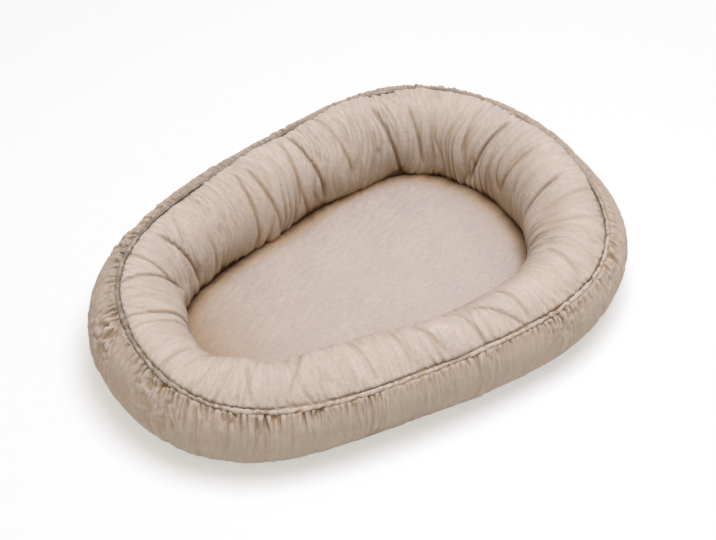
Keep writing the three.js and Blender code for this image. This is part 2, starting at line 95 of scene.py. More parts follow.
# Folds: height (or 1 where it varies), the level that is left flat, spacing and length
broad_folds = (0.0044, 0.6, 0.023, 0.16)
narrow_folds = (0.0021, 0.6, 0.010, 0.09)
seam_folds = (0.0034, 0.6, 0.0075, 0.05)
well_folds = (0.0024, 0.6, 0.012, 0.06)
pleat_folds = (1, 0.7, 0.009, 0.07)
fine_folds = (1, 0.7, 0.0065, 0.07)
wall_folds = (1, 0.6, 0.026, 0.22)
crumple_folds = (0.0078, 0.6, 0.012, 0.016)
seam_folds_reach = 0.010
well_folds_reach = 0.025
fine_folds_reach = 0.02
crumple_reach = 0.06
fold_crossings = 4.44

# Heights and reaches on the side cover: plain, more at the foot, more at the head
pleat_heights = (0.0070, 0.0050, 0.0020)
pleat_reaches = (0.013, 0.013, 0.006)
fine_heights = (0.0012, 0.0030)
wall_heights = (0.0017, 0.0008)

# Lumps: height in metres (the wander in columns) and their size in grid steps
crown_lumps = (0.0030, 16, 12)
crown_wander = (5.5, 22, 11)
side_lumps = (0.0009, 34, 14)
crown_lift = 0.0012
side_lift = 0.0010

# Tucks: how many, how deep, and how much longer at the foot and at the head. Then the least
# and the most of what is drawn for each
crown_tucks = (170, 0.0028, (0.3, 0.3))
side_tucks = (260, 0.0045, (0.6, 0.4))
tuck_starts = (0.0015, 0.005)
tuck_lengths = (0.007, 0.024)
tuck_size_shares = (0.25, 1.0)
tuck_widths = (0.0011, 0.0022)
tuck_slant = 0.14
tuck_reach = 0.03

# Painted shade: brown between the folds, and painted shade and grey beside the seams, at the well and
# over the sleeping surface: most, reach and sharpness
hollow_depth = 0.0024
hollow_blur = (4.5, 3.0)
flat_fold_painted_shade = 0.10
deepest_fold_painted_shade = 0.33
painted_well_shade = (0.24, 0.055, 1.5)
painted_well_crevice_shade = (1, 0.018, 2)
painted_seam_shade = (0.55, 0.0036, 2)
painted_seam_grey_shade = (1, 0.0040, 2)
painted_side_seam_shade = (0.45, 0.0036, 2)
painted_side_shade = (0.05, 0.018, 2)
painted_side_grey_shade = (0.35, 0.012, 2)
painted_panel_edge_shade = (0.20, 0.030, 1)
painted_panel_foot_shade = (0.42, 0.110, 1.5)
painted_panel_crevice_shade = (0.95, 0.0235, 2)

# Creases of the crown: outer end (share round the ring, angle), inner end, strength
CREASES = (
    (0.414, 78, 0.416, 158, 4),
    (0.441, 78, 0.414, 156, 6),
    (0.466, 76, 0.475, 110, 2),
    (0.477, 72, 0.476, 166, 6),
    (0.489, 74, 0.490, 158, 3),
    (0.527, 60, 0.532, 106, 4),
    (0.543, 78, 0.550, 138, 2),
    (0.386, 106, 0.377, 180, 7),
    (0.366, 92, 0.375, 122, 2),
    (0.353, 144, 0.353, 184, 2),
    (0.299, 106, 0.303, 198, 4),
    (0.288, 108, 0.280, 196, 4),
    (0.249, 92, 0.256, 174, 5),
    (0.239, 94, 0.229, 182, 8),
    (0.209, 84, 0.200, 168, 4),
    (0.159, 112, 0.134, 230, 8),
    (0.126, 120, 0.113, 178, 5),
    (0.061, 102, 0.061, 152, 3),
    (0.034, 104, 0.047, 188, 8),
    (0.994, 108, 1.005, 172, 4),
    (0.954, 110, 0.950, 192, 7),
    (0.942, 46, 0.930, 130, 2),
    (0.910, 50, 0.905, 124, 2),
    (0.854, 56, 0.863, 114, 3),
    (0.803, 52, 0.799, 112, 3),
    (0.799, 40, 0.776, 102, 4),
    (0.764, 38, 0.758, 106, 4),
    (0.731, 56, 0.724, 100, 3),
    (0.728, 40, 0.726, 70, 3),
    (0.705, 58, 0.704, 112, 3),
    (0.677, 56, 0.673, 112, 3),
    (0.591, 60, 0.588, 98, 3),
    (0.616, 62, 0.633, 134, 2),
)
crease_unit = 0.0016
crease_width = 0.0029
crease_shoulder = 0.017
crease_fade = 26.0

# Where the roll is fuller or flatter than its plain section, read from the photo: share round
# the ring, reach in shares, angle, reach in degrees, rise
CROWN_PUFFS = (
    (0.925, 0.045, 172, 34, 0.0120),
    (0.475, 0.045, 162, 34, 0.0120),
    (0.645, 0.018, 132, 34, 0.0070),
    (0.765, 0.068, 132, 40, -0.0120),
)
SIDE_PUFFS = (
    (0.690, 0.070, -38, 34, -0.0090),
    (0.920, 0.055, 4, 40, 0.0120),
)

# Levels and layers inside
inner_seam_height = 0.0251
base_seam_height = 0.0033
bolster_level = 0.0033
cover_thickness = 0.0016
liner_inset = 0.0030
fill_inset = 0.0045
liner_end_gap = 0.0022
fill_end_gap = 0.0024
cap_near = 0.0003
cap_far = 0.0015
panel_level = 0.0329
panel_crown = 0.005
panel_thickness = 0.0020
panel_dip = 0.0078
panel_dip_reach = 0.0066
panel_lap = 0.0002
wadding_level = 0.0294
wadding_base = 0.0238
wadding_gap = 0.001
wadding_drop = 0.0040
wadding_drop_reach = 0.010
foam_top = 0.0235
foam_base = 0.0033
foam_gap = 0.0008
foam_round = 0.004
mean_reach = 0.24

# Waves of the sleeping surface: height and length
broad_waves = (0.0007, 0.085)
cross_waves = (0.0003, 0.050)
crepe_waves = (0.0002, 0.016)
slanted_waves = (0.00028, 0.011)
edge_tugs = (0.0009, 0.016)
wave_limits = (-0.0016, 0.0025)
slant_shares = (0.93, 0.37)

# Ridge along the outer seam, the elastic in it and the tape at the inner seam
ridge_half_width = 0.0032
ridge_half_rise = 0.0024
ridge_middle = 0.0026
elastic_half_width = 0.0014
elastic_half_rise = 0.0005
elastic_ripples = 260
stay_angle = 1.2
stay_half_angle = 2.2
stay_inset = 0.0012
stay_half_thickness = 0.0005

# Base and zip
base_thickness = 0.003
base_lap = 0.0016
base_pucker = 0.0004
soft_edge = 0.001
channel_inner = 0.030
channel_outer = 0.036
channel_reach = 0.205
channel_roof = 0.009
groove_roof = 0.0145
groove_gap = 0.0006
slot_width = 0.0128
slot_reach = 0.200
slot_corner_share = 0.026
slot_round = 0.0006
tape_reach = 0.212
tape_gap = 0.0024
tape_width = 0.013
tape_bottom = 0.0123
tape_thickness = 0.0006
coil_end = 0.1967
coil_pitch = 0.0015
coil_size = 0.0024
coil_middle = 0.0108
coil_closed = 0.00145
coil_parted = 0.0024
coil_part_start = -0.1937
coil_part_end = -0.1851
coil_wire = 0.00035
stitch_pitch = 0.0036
stitch_length = 0.0026
stitch_radius = 0.0003
stitch_inset = 0.004
stitch_step = 0.0005
stitch_sides = 5

# Meshes, floor, camera and light
bake_margin = 0.01
bake_strips = 3
join_reach = 0.00002
floor_reach = 6.0
floor_lap = 0.030
floor_ring_share = 0.1
ring_angle = np.arange(-74.0, 286.0, 5.0)
camera_azimuth = -35
camera_elevation = 46
camera_distance = 2.8827
camera_target = (0.0463, 0.0534, 0)
light_place = (0.18, -0.33, 2.99)

# Colours
sand = (0.645, 0.548, 0.470)
panel_sand = (0.605, 0.515, 0.443)
# Painted shade: brown between the folds, dark brown in the seams and crevices, and grey over the seam
# band where it rides high
painted_fold_shade_brown = (0.49, 0.335, 0.205)
painted_crevice_shade_brown = (0.20, 0.10, 0.036)
painted_band_grey_shade = (0.30, 0.238, 0.175)
zip_sand = (0.55, 0.44, 0.36)
sky_gold = (1.0, 0.84, 0.58)
sky_strength = 0.50
# Where the painted-shade brown stands between the fold colour and the crevice brown
painted_shade_brown_place = 0.4
shadow_fill = 0.5
along_ring = (1.0, 1.0, 0.2)
along_panel = (0.45, 1.0, 1.0)


# Small sums

def smooth(value):
    """Eases a value between 0 and 1."""
    value = np.clip(value, 0, 1)
    return value * value * (3 - 2 * value)


def fade(distance, reach, power=1):
    """1 at no distance, falling off over a reach."""
    return np.exp(-np.abs(distance / reach) ** power)


# Painted shade that fades with distance from a seam or an edge
def painted_shade_near(distance, shading):
    most, reach, power = shading
    return most * fade(distance, reach, power)


def size_of(vectors):
    return np.linalg.norm(vectors, axis=-1)


def unit(vectors):
    return vectors / size_of(vectors)[..., None]


def round_shares(count):
    """Equal steps once round, as shares from 0."""
    return np.arange(count) / count


def round_turn(count):
    return 2 * np.pi * round_shares(count)


def running(steps):
    """Running total of steps, from 0."""
    return np.concatenate([[0], np.cumsum(steps)])


def blend(first, second, part):
    return first * (1 - part) + second * part


def dot(first, second):
    return np.einsum("ijk,ijk->ij", first, second)


def between(table, place):
    """Rows of a table that closes round the ring, at places between its rows."""
    before = np.floor(place).astype(int)
    return blend(table[before % len(table)], table[(before + 1) % len(table)], (place - before)[:, None])


# Centre line and section of the roll

def egg_table():
    """Run lengths, points and outward directions along the roll's centre line."""
    turn = np.linspace(0, 2 * np.pi, path_samples + 1)
    shape = 1 + egg_share * np.cos(turn) + square_share * np.cos(2 * turn)
    change = -egg_share * np.sin(turn) - 2 * square_share * np.sin(2 * turn)
    height = np.sin(turn) * shape
    half_length = (overall_length - roll_width) / 2
    scale_y = (overall_width - roll_width) / 2 / height.max()
    x = half_length * np.cos(turn)
    y = scale_y * height
    along_x = -half_length * np.sin(turn)
    along_y = scale_y * (np.cos(turn) * shape + np.sin(turn) * change)
    size = np.hypot(along_x, along_y)
    return running(np.hypot(np.diff(x), np.diff(y))), x, y, along_y / size, -along_x / size


egg_run, *egg_columns = egg_table()
path_length = egg_run[-1]


def place_at(share):
    """Centre line point and outward direction at shares of the way round from the head end."""
    run = (share - np.floor(share)) * path_length
    return [np.interp(run, egg_run, column) for column in egg_columns]


def off_share(share, centre):
    """How far round the ring shares lie from a centre, the shorter way."""
    off = share - centre
    return off - np.round(off)


def angle_below(height):
    """Angle below the roll's widest level at which its surface stands at a height."""
    return math.degrees(math.asin((half_height - height) / half_height))


well_angle = 180 + angle_below(inner_seam_height)
base_angle = -angle_below(base_seam_height)


def seam_dent(angle):
    """Depth of the dent that the outer seam pulls into the roll."""
    away = np.abs(angle - seam_angle) / seam_dent_half_angle
    return seam_dent_depth * fade(np.maximum(away - dent_flat_share, 0), 1 - dent_flat_share, 2)


def seam_climb(out_y):
    """How much higher the outer seam rides towards the +Y side, in degrees."""
    part = np.minimum((1 + out_y) / 2 / climb_reach_share, 1)
    return climb_most * (part + smooth(part)) / 2


def climb_at(share):
    return seam_climb(place_at(share)[3])[:, None]


def high_share(share):
    """How high the outer seam rides, from 0 to 1."""
    return climb_at(share) / climb_most


def climbed(angle, climb):
    """The true place round the section: the climb is full at the outer seam, none at the others."""
    end = np.where(angle > seam_angle, well_angle, base_angle)
    return angle + climb * np.maximum((angle - end) / (seam_angle - end), 0)


def true_angle(share, angle):
    return climbed(angle[None, :], climb_at(share))


def section(angle, inset=0.0, climb=0.0):
    """Outward distance, height and normal of the roll's section. The seam may stand climb higher."""
    turn = np.radians(climbed(angle, climb))
    cosine = np.cos(turn)
    sine = np.sin(turn)
    fullness = np.where(sine < 0, lower_full_share, 1.0)
    outward = half_width * np.sign(cosine) * np.abs(cosine) ** fullness
    height = half_height * (1 + sine)
    size = np.hypot(cosine / half_width, sine / half_height)
    normal_out = cosine / half_width / size
    normal_up = sine / half_height / size
    depth = inset + seam_dent(angle)
    return outward - depth * normal_out, height - depth * normal_up, normal_out, normal_up


def spaced_angles(start, end):
    """Angles whose rows stand closer together near the outer seam."""
    fine = np.linspace(start, end, angle_samples)
    outward, height = section(fine)[:2]
    run = running(np.hypot(np.diff(outward), np.diff(height)))
    from_seam = run if abs(start - seam_angle) < abs(end - seam_angle) else run[-1] - run
    spacing = row_spacing - (row_spacing - seam_row_spacing) * fade(from_seam, seam_rows_reach)
    count = running(np.diff(run) / ((spacing[1:] + spacing[:-1]) / 2))
    rows = int(round(count[-1])) + 1
    return np.interp(np.linspace(0, count[-1], rows), count, fine)


def surface(share, angle, inset=0.0):
    """Points and normals of the roll, for arrays of shares (down) and angles (across)."""
    x, y, out_x, out_y = (column[:, None] for column in place_at(share))
    outward, height, normal_out, normal_up = section(angle[None, :], inset, seam_climb(out_y))
    points = np.stack([x + out_x * outward, y + out_y * outward, height], axis=-1)
    normals = np.stack([out_x * normal_out, out_y * normal_out, normal_up], axis=-1)
    return points, normals


# Cloth on a grid that closes round the ring

def spans(rows, link):
    """The rows at the first and at the second end of a kind of link."""
    along = link[1]
    if along >= 0:
        return slice(0, rows - along), slice(along, rows)
    return slice(-along, rows), slice(0, rows + along)


def ends(array, link):
    """The grid's values at both ends of every link of one kind."""
    first, second = spans(array.shape[1], link)
    return array[:, first], np.roll(array, -link[0], axis=0)[:, second]


def rest_lengths(base, gather):
    """Rest length of every link, with more cloth than surface round the ring."""
    lengths = []
    for link in LINKS:
        start, end = ends(base, link)
        length = size_of(end - start)
        if link[0]:
            start, end = ends(base, (link[0], 0))
            round_part = size_of(end - start)[:, spans(base.shape[1], link)[0]]
            down_part = np.sqrt(np.maximum(length ** 2 - round_part ** 2, 0))
            length = np.hypot(round_part * sum(ends(gather, link)) / 2, down_part)
        lengths.append(length.astype(np.float32))
    return lengths


def relax(base, normals, start, gather, target, rounds, fill_pull):
    """Lets the cloth buckle over its filling. The first and last rows are sewn down."""
    rest = rest_lengths(base, gather)
    base, normals, target, cloth = (
        array.astype(np.float32) for array in (base, normals, target, start)
    )
    weight = np.zeros(target.shape, np.float32)
    for link, strength in zip(LINKS, link_strengths):
        first, second = spans(cloth.shape[1], link)
        weight[:, first] += strength
        weight[:, second] += strength
    for _ in range(rounds):
        move = np.zeros_like(cloth)
        for link, strength, length in zip(LINKS, link_strengths, rest):
            a, b = ends(cloth, link)
            apart = b - a
            size = np.sqrt(dot(apart, apart))
            shift = apart * (strength * 0.5 * (size - length) / size)[..., None]
            first, second = spans(cloth.shape[1], link)
            move[:, first] += shift
            move[:, second] -= np.roll(shift, link[0], axis=0)
        cloth[:, 1:-1] += (link_eagerness * move / weight[..., None])[:, 1:-1]
        lift = dot(cloth - base, normals)
        wanted = np.clip(lift + fill_pull * (target - lift), -deepest_sink, highest_rise)
        cloth[:, 1:-1] += (normals * (wanted - lift)[..., None])[:, 1:-1]
    return cloth.astype(float)


def blur(field, across, along):
    """A grid's values, smoothed over across by along grid steps."""
    u = np.fft.fftfreq(field.shape[0])[:, None]
    v = np.fft.fftfreq(field.shape[1])[None, :]
    keep = np.exp(-2 * (np.pi * u * across) ** 2 - 2 * (np.pi * v * along) ** 2)
    return np.real(np.fft.ifft2(np.fft.fft2(field) * keep))


def settle(base, normals, lift, spare, rounds, fill_pull):
    """Lets folded cloth settle, with a little more length round the ring than it lies on."""
    start = base + normals * lift[..., None]
    length = size_of(np.roll(start, -1, 0) - start)
    flat = size_of(np.roll(base, -1, 0) - base)
    gather = blur(length / flat, *gather_blur) * spare
    rounds = rounds
    return relax(base, normals, start, gather, lift, rounds, fill_pull)


# Folds, creases and tucks

def streaks(rng, shape, across, along):
    """Smooth noise of unit size whose features measure across by along, in grid steps."""
    field = blur(rng.standard_normal(shape), across, along)
    return field / field.std()


def lumps(rng, shape, height, across, along):
    return height * streaks(rng, shape, across, along)


def clouds(rng, shape, mean, spread, least, most, across, along):
    """Strength that comes and goes over a cover."""
    return np.clip(mean + spread * streaks(rng, shape, across, along), least, most)


def folds(rng, shape, height, flat_level, spacing, length):
    """Round puffs with sharp valleys between them."""
    across = spacing / (path_length / shape[0]) / fold_crossings
    along = length / row_spacing / fold_crossings
    field = np.abs(streaks(rng, shape, across, along))
    return height * ((np.minimum(field, 1.6) / 1.6) ** 0.75 - flat_level)


def crease_field(share, angle, around):
    """Depth that the creases press into the crown."""
    angle = true_angle(share, angle)
    depth = np.zeros(angle.shape)
    for share_a, angle_a, share_b, angle_b, strength in CREASES:
        along = (angle - angle_a) / (angle_b - angle_a)
        off = off_share(share[:, None], share_a + (share_b - share_a) * along) * around
        rise = smooth((angle - angle_a) / crease_fade + 0.7)
        fall = smooth((angle_b - angle) / crease_fade + 0.9)
        line = 0.70 * fade(off, crease_width, 1.3) + 0.34 * fade(off, crease_shoulder, 2)
        depth += strength * crease_unit * rise * fall * line
    return depth


def puff_field(share, angle, puffs):
    """How far the puffs raise the cloth, at the true angle of every point."""
    angle = true_angle(share, angle)
    return sum(
        rise * fade(off_share(share[:, None], centre), reach, 2) * fade(angle - height, spread, 2)
        for centre, reach, height, spread, rise in puffs
    )


def tucks(rng, share, down, around, count, depth, longer):
    """Short sharp tucks that run from a seam: their depth in the cloth."""
    field = np.zeros_like(around)
    for place in range(count):
        centre = (place + rng.uniform(-0.4, 0.4)) / count
        foot, head = foot_and_head(centre)
        long = 1 + longer[0] * foot + longer[1] * head
        top = rng.uniform(*tuck_starts)
        length = rng.uniform(*tuck_lengths) * long
        size = depth * rng.uniform(*tuck_size_shares) * long ** 0.5
        width = rng.uniform(*tuck_widths) * long ** 0.3
        slant = rng.normal(0, tuck_slant)
        off = off_share(share, centre)
        close = np.flatnonzero(np.abs(off * path_length) < tuck_reach)
        off = off[close, None] * around[close] - slant * down
        part = np.clip((down - top) / length, 0, 1)
        run = smooth(part / 0.2) * (1 - part) ** 1.2
        puff = fade(np.abs(off) - 2.6 * width, 1.5 * width, 2)
        field[close] += size * run * (fade(off, width, 1.3) - 0.3 * puff)
    return field


def foot_and_head(share):
    """Where the covers are gathered most: 1 at the foot end and at the head end."""
    return fade(share - 0.52, 0.12, 4), fade(share - 0.86, 0.05, 4)


def bend(field, shift):
    """The field with every value moved round the ring by a number of columns."""
    columns, rows = field.shape
    place = np.arange(columns)[:, None] + shift
    low = np.floor(place).astype(int)
    row = np.arange(rows)
    return blend(field[low % columns, row], field[(low + 1) % columns, row], place - low)


def painted_fold_shade(cloth, base, normals):
    """Painted shade for the cloth's colour, from how far each point lies below the folds round it: least
    on the highest folds.
    """
    lift = dot(cloth - base, normals)
    painted_shade = (blur(lift, *hollow_blur) - lift) / hollow_depth
    return flat_fold_painted_shade + (deepest_fold_painted_shade - flat_fold_painted_shade) * np.clip(painted_shade, -0.35, 1)


def distance_down(base):
    """Distance of every row from the first one, along the surface."""
    return running(size_of(np.diff(base, axis=1)).mean(0))[None, :]


def lap_length(base):
    """Length once round the ring at the scale of every point's own neighbourhood."""
    return size_of(np.roll(base, -1, 0) - np.roll(base, 1, 0)) * len(base) / 2


# The two covers

def sew(rng, sheet, lift, from_seam, from_other, puffs, tuck_kind, sewn, settling):
    """Puffs and tucks a cover's folds, sews down its two edges and lets it settle."""
    share, angle, base, normals = sheet
    lift += puff_field(share, angle, puffs)
    lift -= tucks(rng, share, from_seam, lap_length(base), *tuck_kind)
    lift *= (1 - fade(from_seam, sewn[0])) * (1 - fade(from_other, sewn[1]))
    return settle(base, normals, lift, *settling)


def plain_sheet(angle, columns):
    """A cover's shares round the ring, its angles, and its points and normals on the plain roll."""
    share = round_shares(columns)
    return share, angle, *surface(share, angle)


def crown_cloth():
    """The crown's cover, gathered between the outer seam and the well."""
    rng = np.random.default_rng(seed)
    sheet = plain_sheet(spaced_angles(seam_angle + seam_half_angle, well_angle), crown_columns)
    share, angle, base, normals = sheet
    shape = base.shape[:2]
    from_seam = distance_down(base)
    from_well = from_seam[:, -1:] - from_seam
    cloudy = clouds(rng, shape, *crown_clouds)
    patchy = clouds(rng, shape, *crown_patches)
    reach = from_seam / from_seam[:, -1:]
    broad_share = 0.35 + 0.75 * smooth((reach - 0.30) / 0.4) + 0.3 * fade(reach, 0.15)
    lift = broad_share * cloudy * folds(rng, shape, *broad_folds)
    lift += patchy * folds(rng, shape, *narrow_folds)
    lift += fade(from_seam, seam_folds_reach) * folds(rng, shape, *seam_folds)
    lift += fade(from_well, well_folds_reach) * folds(rng, shape, *well_folds)
    swell = lumps(rng, shape, *crown_lumps) + crown_lift
    lift = bend(lift, lumps(rng, shape, *crown_wander)) + swell
    lift -= crease_field(share, angle, lap_length(base))
    cloth = sew(
        rng, sheet, lift, from_seam, from_well, CROWN_PUFFS, crown_tucks, crown_sewn, crown_settling
    )
    # Painted shade: brown between the folds, less on the crown's top than on its inner wall, browner low
    # on the wall by the well, dark in the crevice at the well and along the outer seam, and grey along
    # the seam where it rides high
    wall = 0.55 + 0.45 * smooth((true_angle(share, angle) - 95) / 50)
    painted_shade = painted_fold_shade(cloth, base, normals) * wall + painted_shade_near(from_well, painted_well_shade)
    painted_shade = np.maximum(painted_shade, painted_shade_near(from_well, painted_well_crevice_shade))
    painted_shade = np.maximum(painted_shade, painted_shade_near(from_seam, painted_seam_shade))
    return cloth, sheet, np.clip(painted_shade, 0, 1), high_share(share) * painted_shade_near(from_seam, painted_seam_grey_shade)


def side_cloth():
    """The outer wall's cover, gathered into the outer seam, most at the foot and the head."""
    rng = np.random.default_rng(seed + 1)
    sheet = plain_sheet(spaced_angles(base_angle, seam_angle - seam_half_angle), side_columns)
    share, angle, base, normals = sheet
    shape = base.shape[:2]
    from_base = distance_down(base)
    from_seam = from_base[:, -1:] - from_base
    foot, head = foot_and_head(share[:, None])
    cloudy = clouds(rng, shape, *side_clouds)
    pleat_height, pleat_reach = (
        plain + at_foot * foot + at_head * head
        for plain, at_foot, at_head in (pleat_heights, pleat_reaches)
    )
    lift = pleat_height * fade(from_seam, pleat_reach, 1.4) * folds(rng, shape, *pleat_folds)
    fine_height = fine_heights[0] + fine_heights[1] * fade(from_seam, fine_folds_reach)
    lift += fine_height * folds(rng, shape, *fine_folds)
    lift += (wall_heights[0] + wall_heights[1] * foot) * folds(rng, shape, *wall_folds)
    crumpled = fade(share[:, None] - 0.45, 0.11, 4) + 0.45 * head
    lift += crumpled * fade(from_seam, crumple_reach, 2) * folds(rng, shape, *crumple_folds)
    dent = seam_dent(angle)[None, :] * smooth(from_seam / 0.0035)
    lift = cloudy * lift + lumps(rng, shape, *side_lumps) + dent + side_lift
    cloth = sew(
        rng, sheet, lift, from_seam, from_base, SIDE_PUFFS, side_tucks, side_sewn, side_settling
    )
    # Painted shade: brown between the folds, a dark line along the outer seam with a little more shade
    # below it, and grey below the seam where it rides high
    painted_shade = np.maximum(painted_fold_shade(cloth, base, normals), painted_shade_near(from_seam, painted_side_seam_shade))
    painted_shade += painted_shade_near(from_seam, painted_side_shade)
    return cloth, sheet, np.clip(painted_shade, 0, 1), high_share(share) * painted_shade_near(from_seam, painted_side_grey_shade)


def inner_lift(cloth, sheet, wanted):
    """How far the cloth stands off the plain roll, at its lowest near every wanted angle."""
    angle, base, normals = sheet[1:]
    low = dot(cloth - base, normals).reshape(inner_columns, len(cloth) // inner_columns, -1)
    low = low.min(axis=1)
    low = np.minimum(low, np.minimum(np.roll(low, 1, 0), np.roll(low, -1, 0)))
    near = [np.abs(angle - a) <= inner_window for a in wanted]
    return np.stack([low[:, rows].min(axis=1) for rows in near], axis=1)


def closed_cover(cloth, sheet, rows):
    """The cover's grid with a plain inner side, rows running on round to the first one."""
    share, angle = sheet[:2]
    inner_angle = np.linspace(angle[-1], angle[0], rows)
    low = inner_lift(cloth, sheet, inner_angle)
    inner, normals = surface(share, inner_angle, cover_thickness)
    inner = inner + normals * between(low, share * inner_columns)[..., None]
    return np.concatenate([cloth, inner], axis=1)


# Meshes from grids of points

def grid_quads(columns, rows, round_columns=True, round_rows=True, turned=False):
    """Corners of the quads of a grid, as columns, as rows and as points."""
    i = np.arange(columns if round_columns else columns - 1)[:, None, None]
    j = np.arange(rows if round_rows else rows - 1)[None, :, None]
    order = slice(None, None, -1 if turned else 1)
    corner_i = i + np.array([0, 1, 1, 0])[order]
    corner_j = j + np.array([0, 0, 1, 1])[order]
    corner_i, corner_j = np.broadcast_arrays(corner_i, corner_j)
    return corner_i, corner_j, (corner_i % columns) * rows + corner_j % rows


def mesh_from(name, points, faces):
    mesh = bpy.data.meshes.new(name)
    mesh.from_pydata(points.reshape(-1, 3).tolist(), [], faces)
    return mesh


def add_map(mesh, name, values):
    layer = mesh.uv_layers.new(name=name, do_init=False)
    layer.uv.foreach_set("vector", np.asarray(values, np.float32).ravel())


def point_layer(mesh, name, values):
    """A number or a place at every point of a grid, for the cloth's colour."""
    kind, part = ("FLOAT_VECTOR", "vector") if values.ndim == 3 else ("FLOAT", "value")
    layer = mesh.attributes.new(name, kind, "POINT")
    layer.data.foreach_set(part, np.asarray(values, np.float32).ravel())


def add_object(name, data):
    obj = bpy.data.objects.new(name, data)
    bpy.context.scene.collection.objects.link(obj)
    return obj


def link_mesh(name, mesh):
    mesh.polygons.foreach_set("use_smooth", np.ones(len(mesh.polygons), bool))
    return add_object(name, mesh)


def grid_mesh(name, points, painted_shade=None, painted_grey_shade=None, **kind):
    """A mesh from a grid of points, with a map in metres and a map to bake to."""
    columns, rows = points.shape[:2]
    corner_i, corner_j, quads = grid_quads(columns, rows, **kind)
    mesh = mesh_from(name, points, quads.reshape(-1, 4).tolist())
    around = points[:, rows // 2]
    steps = size_of(around - np.roll(around, 1, 0))
    lap = steps.sum() if kind.get("round_columns", True) else steps[1:].sum()
    run = running(size_of(np.roll(points, -1, 1) - points).mean(0))
    lap_share = corner_i / columns
    add_map(mesh, "cloth", np.stack([lap_share * lap, run[corner_j]], axis=-1))
    strip = np.floor(corner_i.min(axis=-1, keepdims=True) / columns * bake_strips)
    strip = np.minimum(strip, bake_strips - 1)
    bake_share = 1 - 2 * bake_margin
    across = bake_share * (lap_share * bake_strips - strip) / (1 + bake_strips / columns) + bake_margin
    along = (strip + bake_margin + bake_share * corner_j / corner_j.max()) / bake_strips
    add_map(mesh, "OFBake", np.stack([across, along], axis=-1))
    turn = round_turn(columns)[:, None]
    radius = lap / (2 * np.pi)
    drum = np.broadcast_arrays(radius * np.cos(turn), radius * np.sin(turn), run[None, :rows])
    point_layer(mesh, "crinkle_place", np.stack(drum, axis=-1))
    # Painted shade and painted grey shade for the cloth's colour; rows past the given values get the
    # most of each
    for layer, values in (("painted_shade_amount", painted_shade), ("painted_grey_shade_amount", painted_grey_shade)):
        if values is not None:
            full = np.ones(points.shape[:2])
            full[:, :values.shape[1]] = values
            point_layer(mesh, layer, full)
    return link_mesh(name, mesh)


def pad_mesh(name, points, top_rows, painted_shade=None):
    """A closed pad from rings of points: from the middle of its top, over its edge, to below."""
    corner_j, quads = grid_quads(*points.shape[:2], round_rows=False, turned=True)[1:]
    mesh = mesh_from(name, points, quads.reshape(-1, 4).tolist())
    x, y = points.reshape(-1, 3)[quads.ravel(), :2].T
    below = np.broadcast_to(corner_j.max(axis=-1, keepdims=True) >= top_rows, corner_j.shape)
    middle = np.where(below.ravel(), 0.75, 0.25)
    size = 2.1 * overall_length
    add_map(mesh, "cloth", np.column_stack([x, y]))
    add_map(mesh, "OFBake", np.column_stack([middle + x / size, 0.5 + y / size]))
    point_layer(mesh, "crinkle_place", points)
    # Painted shade for the cloth's colour, where it is given
    if painted_shade is not None:
        point_layer(mesh, "painted_shade_amount", painted_shade)
    mend(mesh)
    return link_mesh(name, mesh)


def mend(mesh, fill_ends=False):
    """Fills a mesh's open ends, or joins the points that fall together in its middle."""
    made = bmesh.new()
    made.from_mesh(mesh)
    if fill_ends:
        open_edges = [edge for edge in made.edges if edge.is_boundary]
        bmesh.ops.holes_fill(made, edges=open_edges, sides=0)
    else:
        bmesh.ops.remove_doubles(made, verts=made.verts, dist=join_reach)
    bmesh.ops.recalc_face_normals(made, faces=made.faces)
    made.to_mesh(mesh)
    made.free()


# Flat pieces with the roll's outline

def plan_outline(columns, angle, lap):
    """The roll's outline from above at an angle of its section, reaching out further by a lap."""
    x, y, out_x, out_y = place_at(round_shares(columns))
    outward = section(angle)[0] + lap
    return np.stack([x + out_x * outward, y + out_y * outward], axis=-1)


def slot_outline(columns, width, reach):
    """A long round-ended slot along X, with its columns spread as the roll's outline has them."""
    corner = slot_corner_share
    knots = [0, corner, 0.5 - corner, 0.5 + corner, 1 - corner, 1]
    share = round_shares(columns)
    turn = np.radians(np.interp(share, knots, [0, 90, 90, 270, 270, 360]))
    middle = np.interp(share, knots, [reach, reach, -reach, -reach, reach, reach])
    return np.stack([middle + width * np.cos(turn), width * np.sin(turn)], axis=-1)


def rings(steps):
    """Grid of points from (outline, height) pairs."""
    return np.stack([
        np.column_stack([outline, np.full(len(outline), height)]) for outline, height in steps
    ], axis=1)


def soft_waves(rng, x, y, size, count=40):
    """Smooth waves over the plane, from their height and length."""
    height, wavelength = size
    total = np.zeros_like(x)
    for _ in range(count):
        heading = rng.uniform(0, 2 * np.pi)
        number = 2 * np.pi / (wavelength * rng.uniform(0.7, 1.6))
        phase = rng.uniform(0, 2 * np.pi)
        total += np.cos(number * (x * math.cos(heading) + y * math.sin(heading)) + phase)
    return height * total * math.sqrt(2 / count)


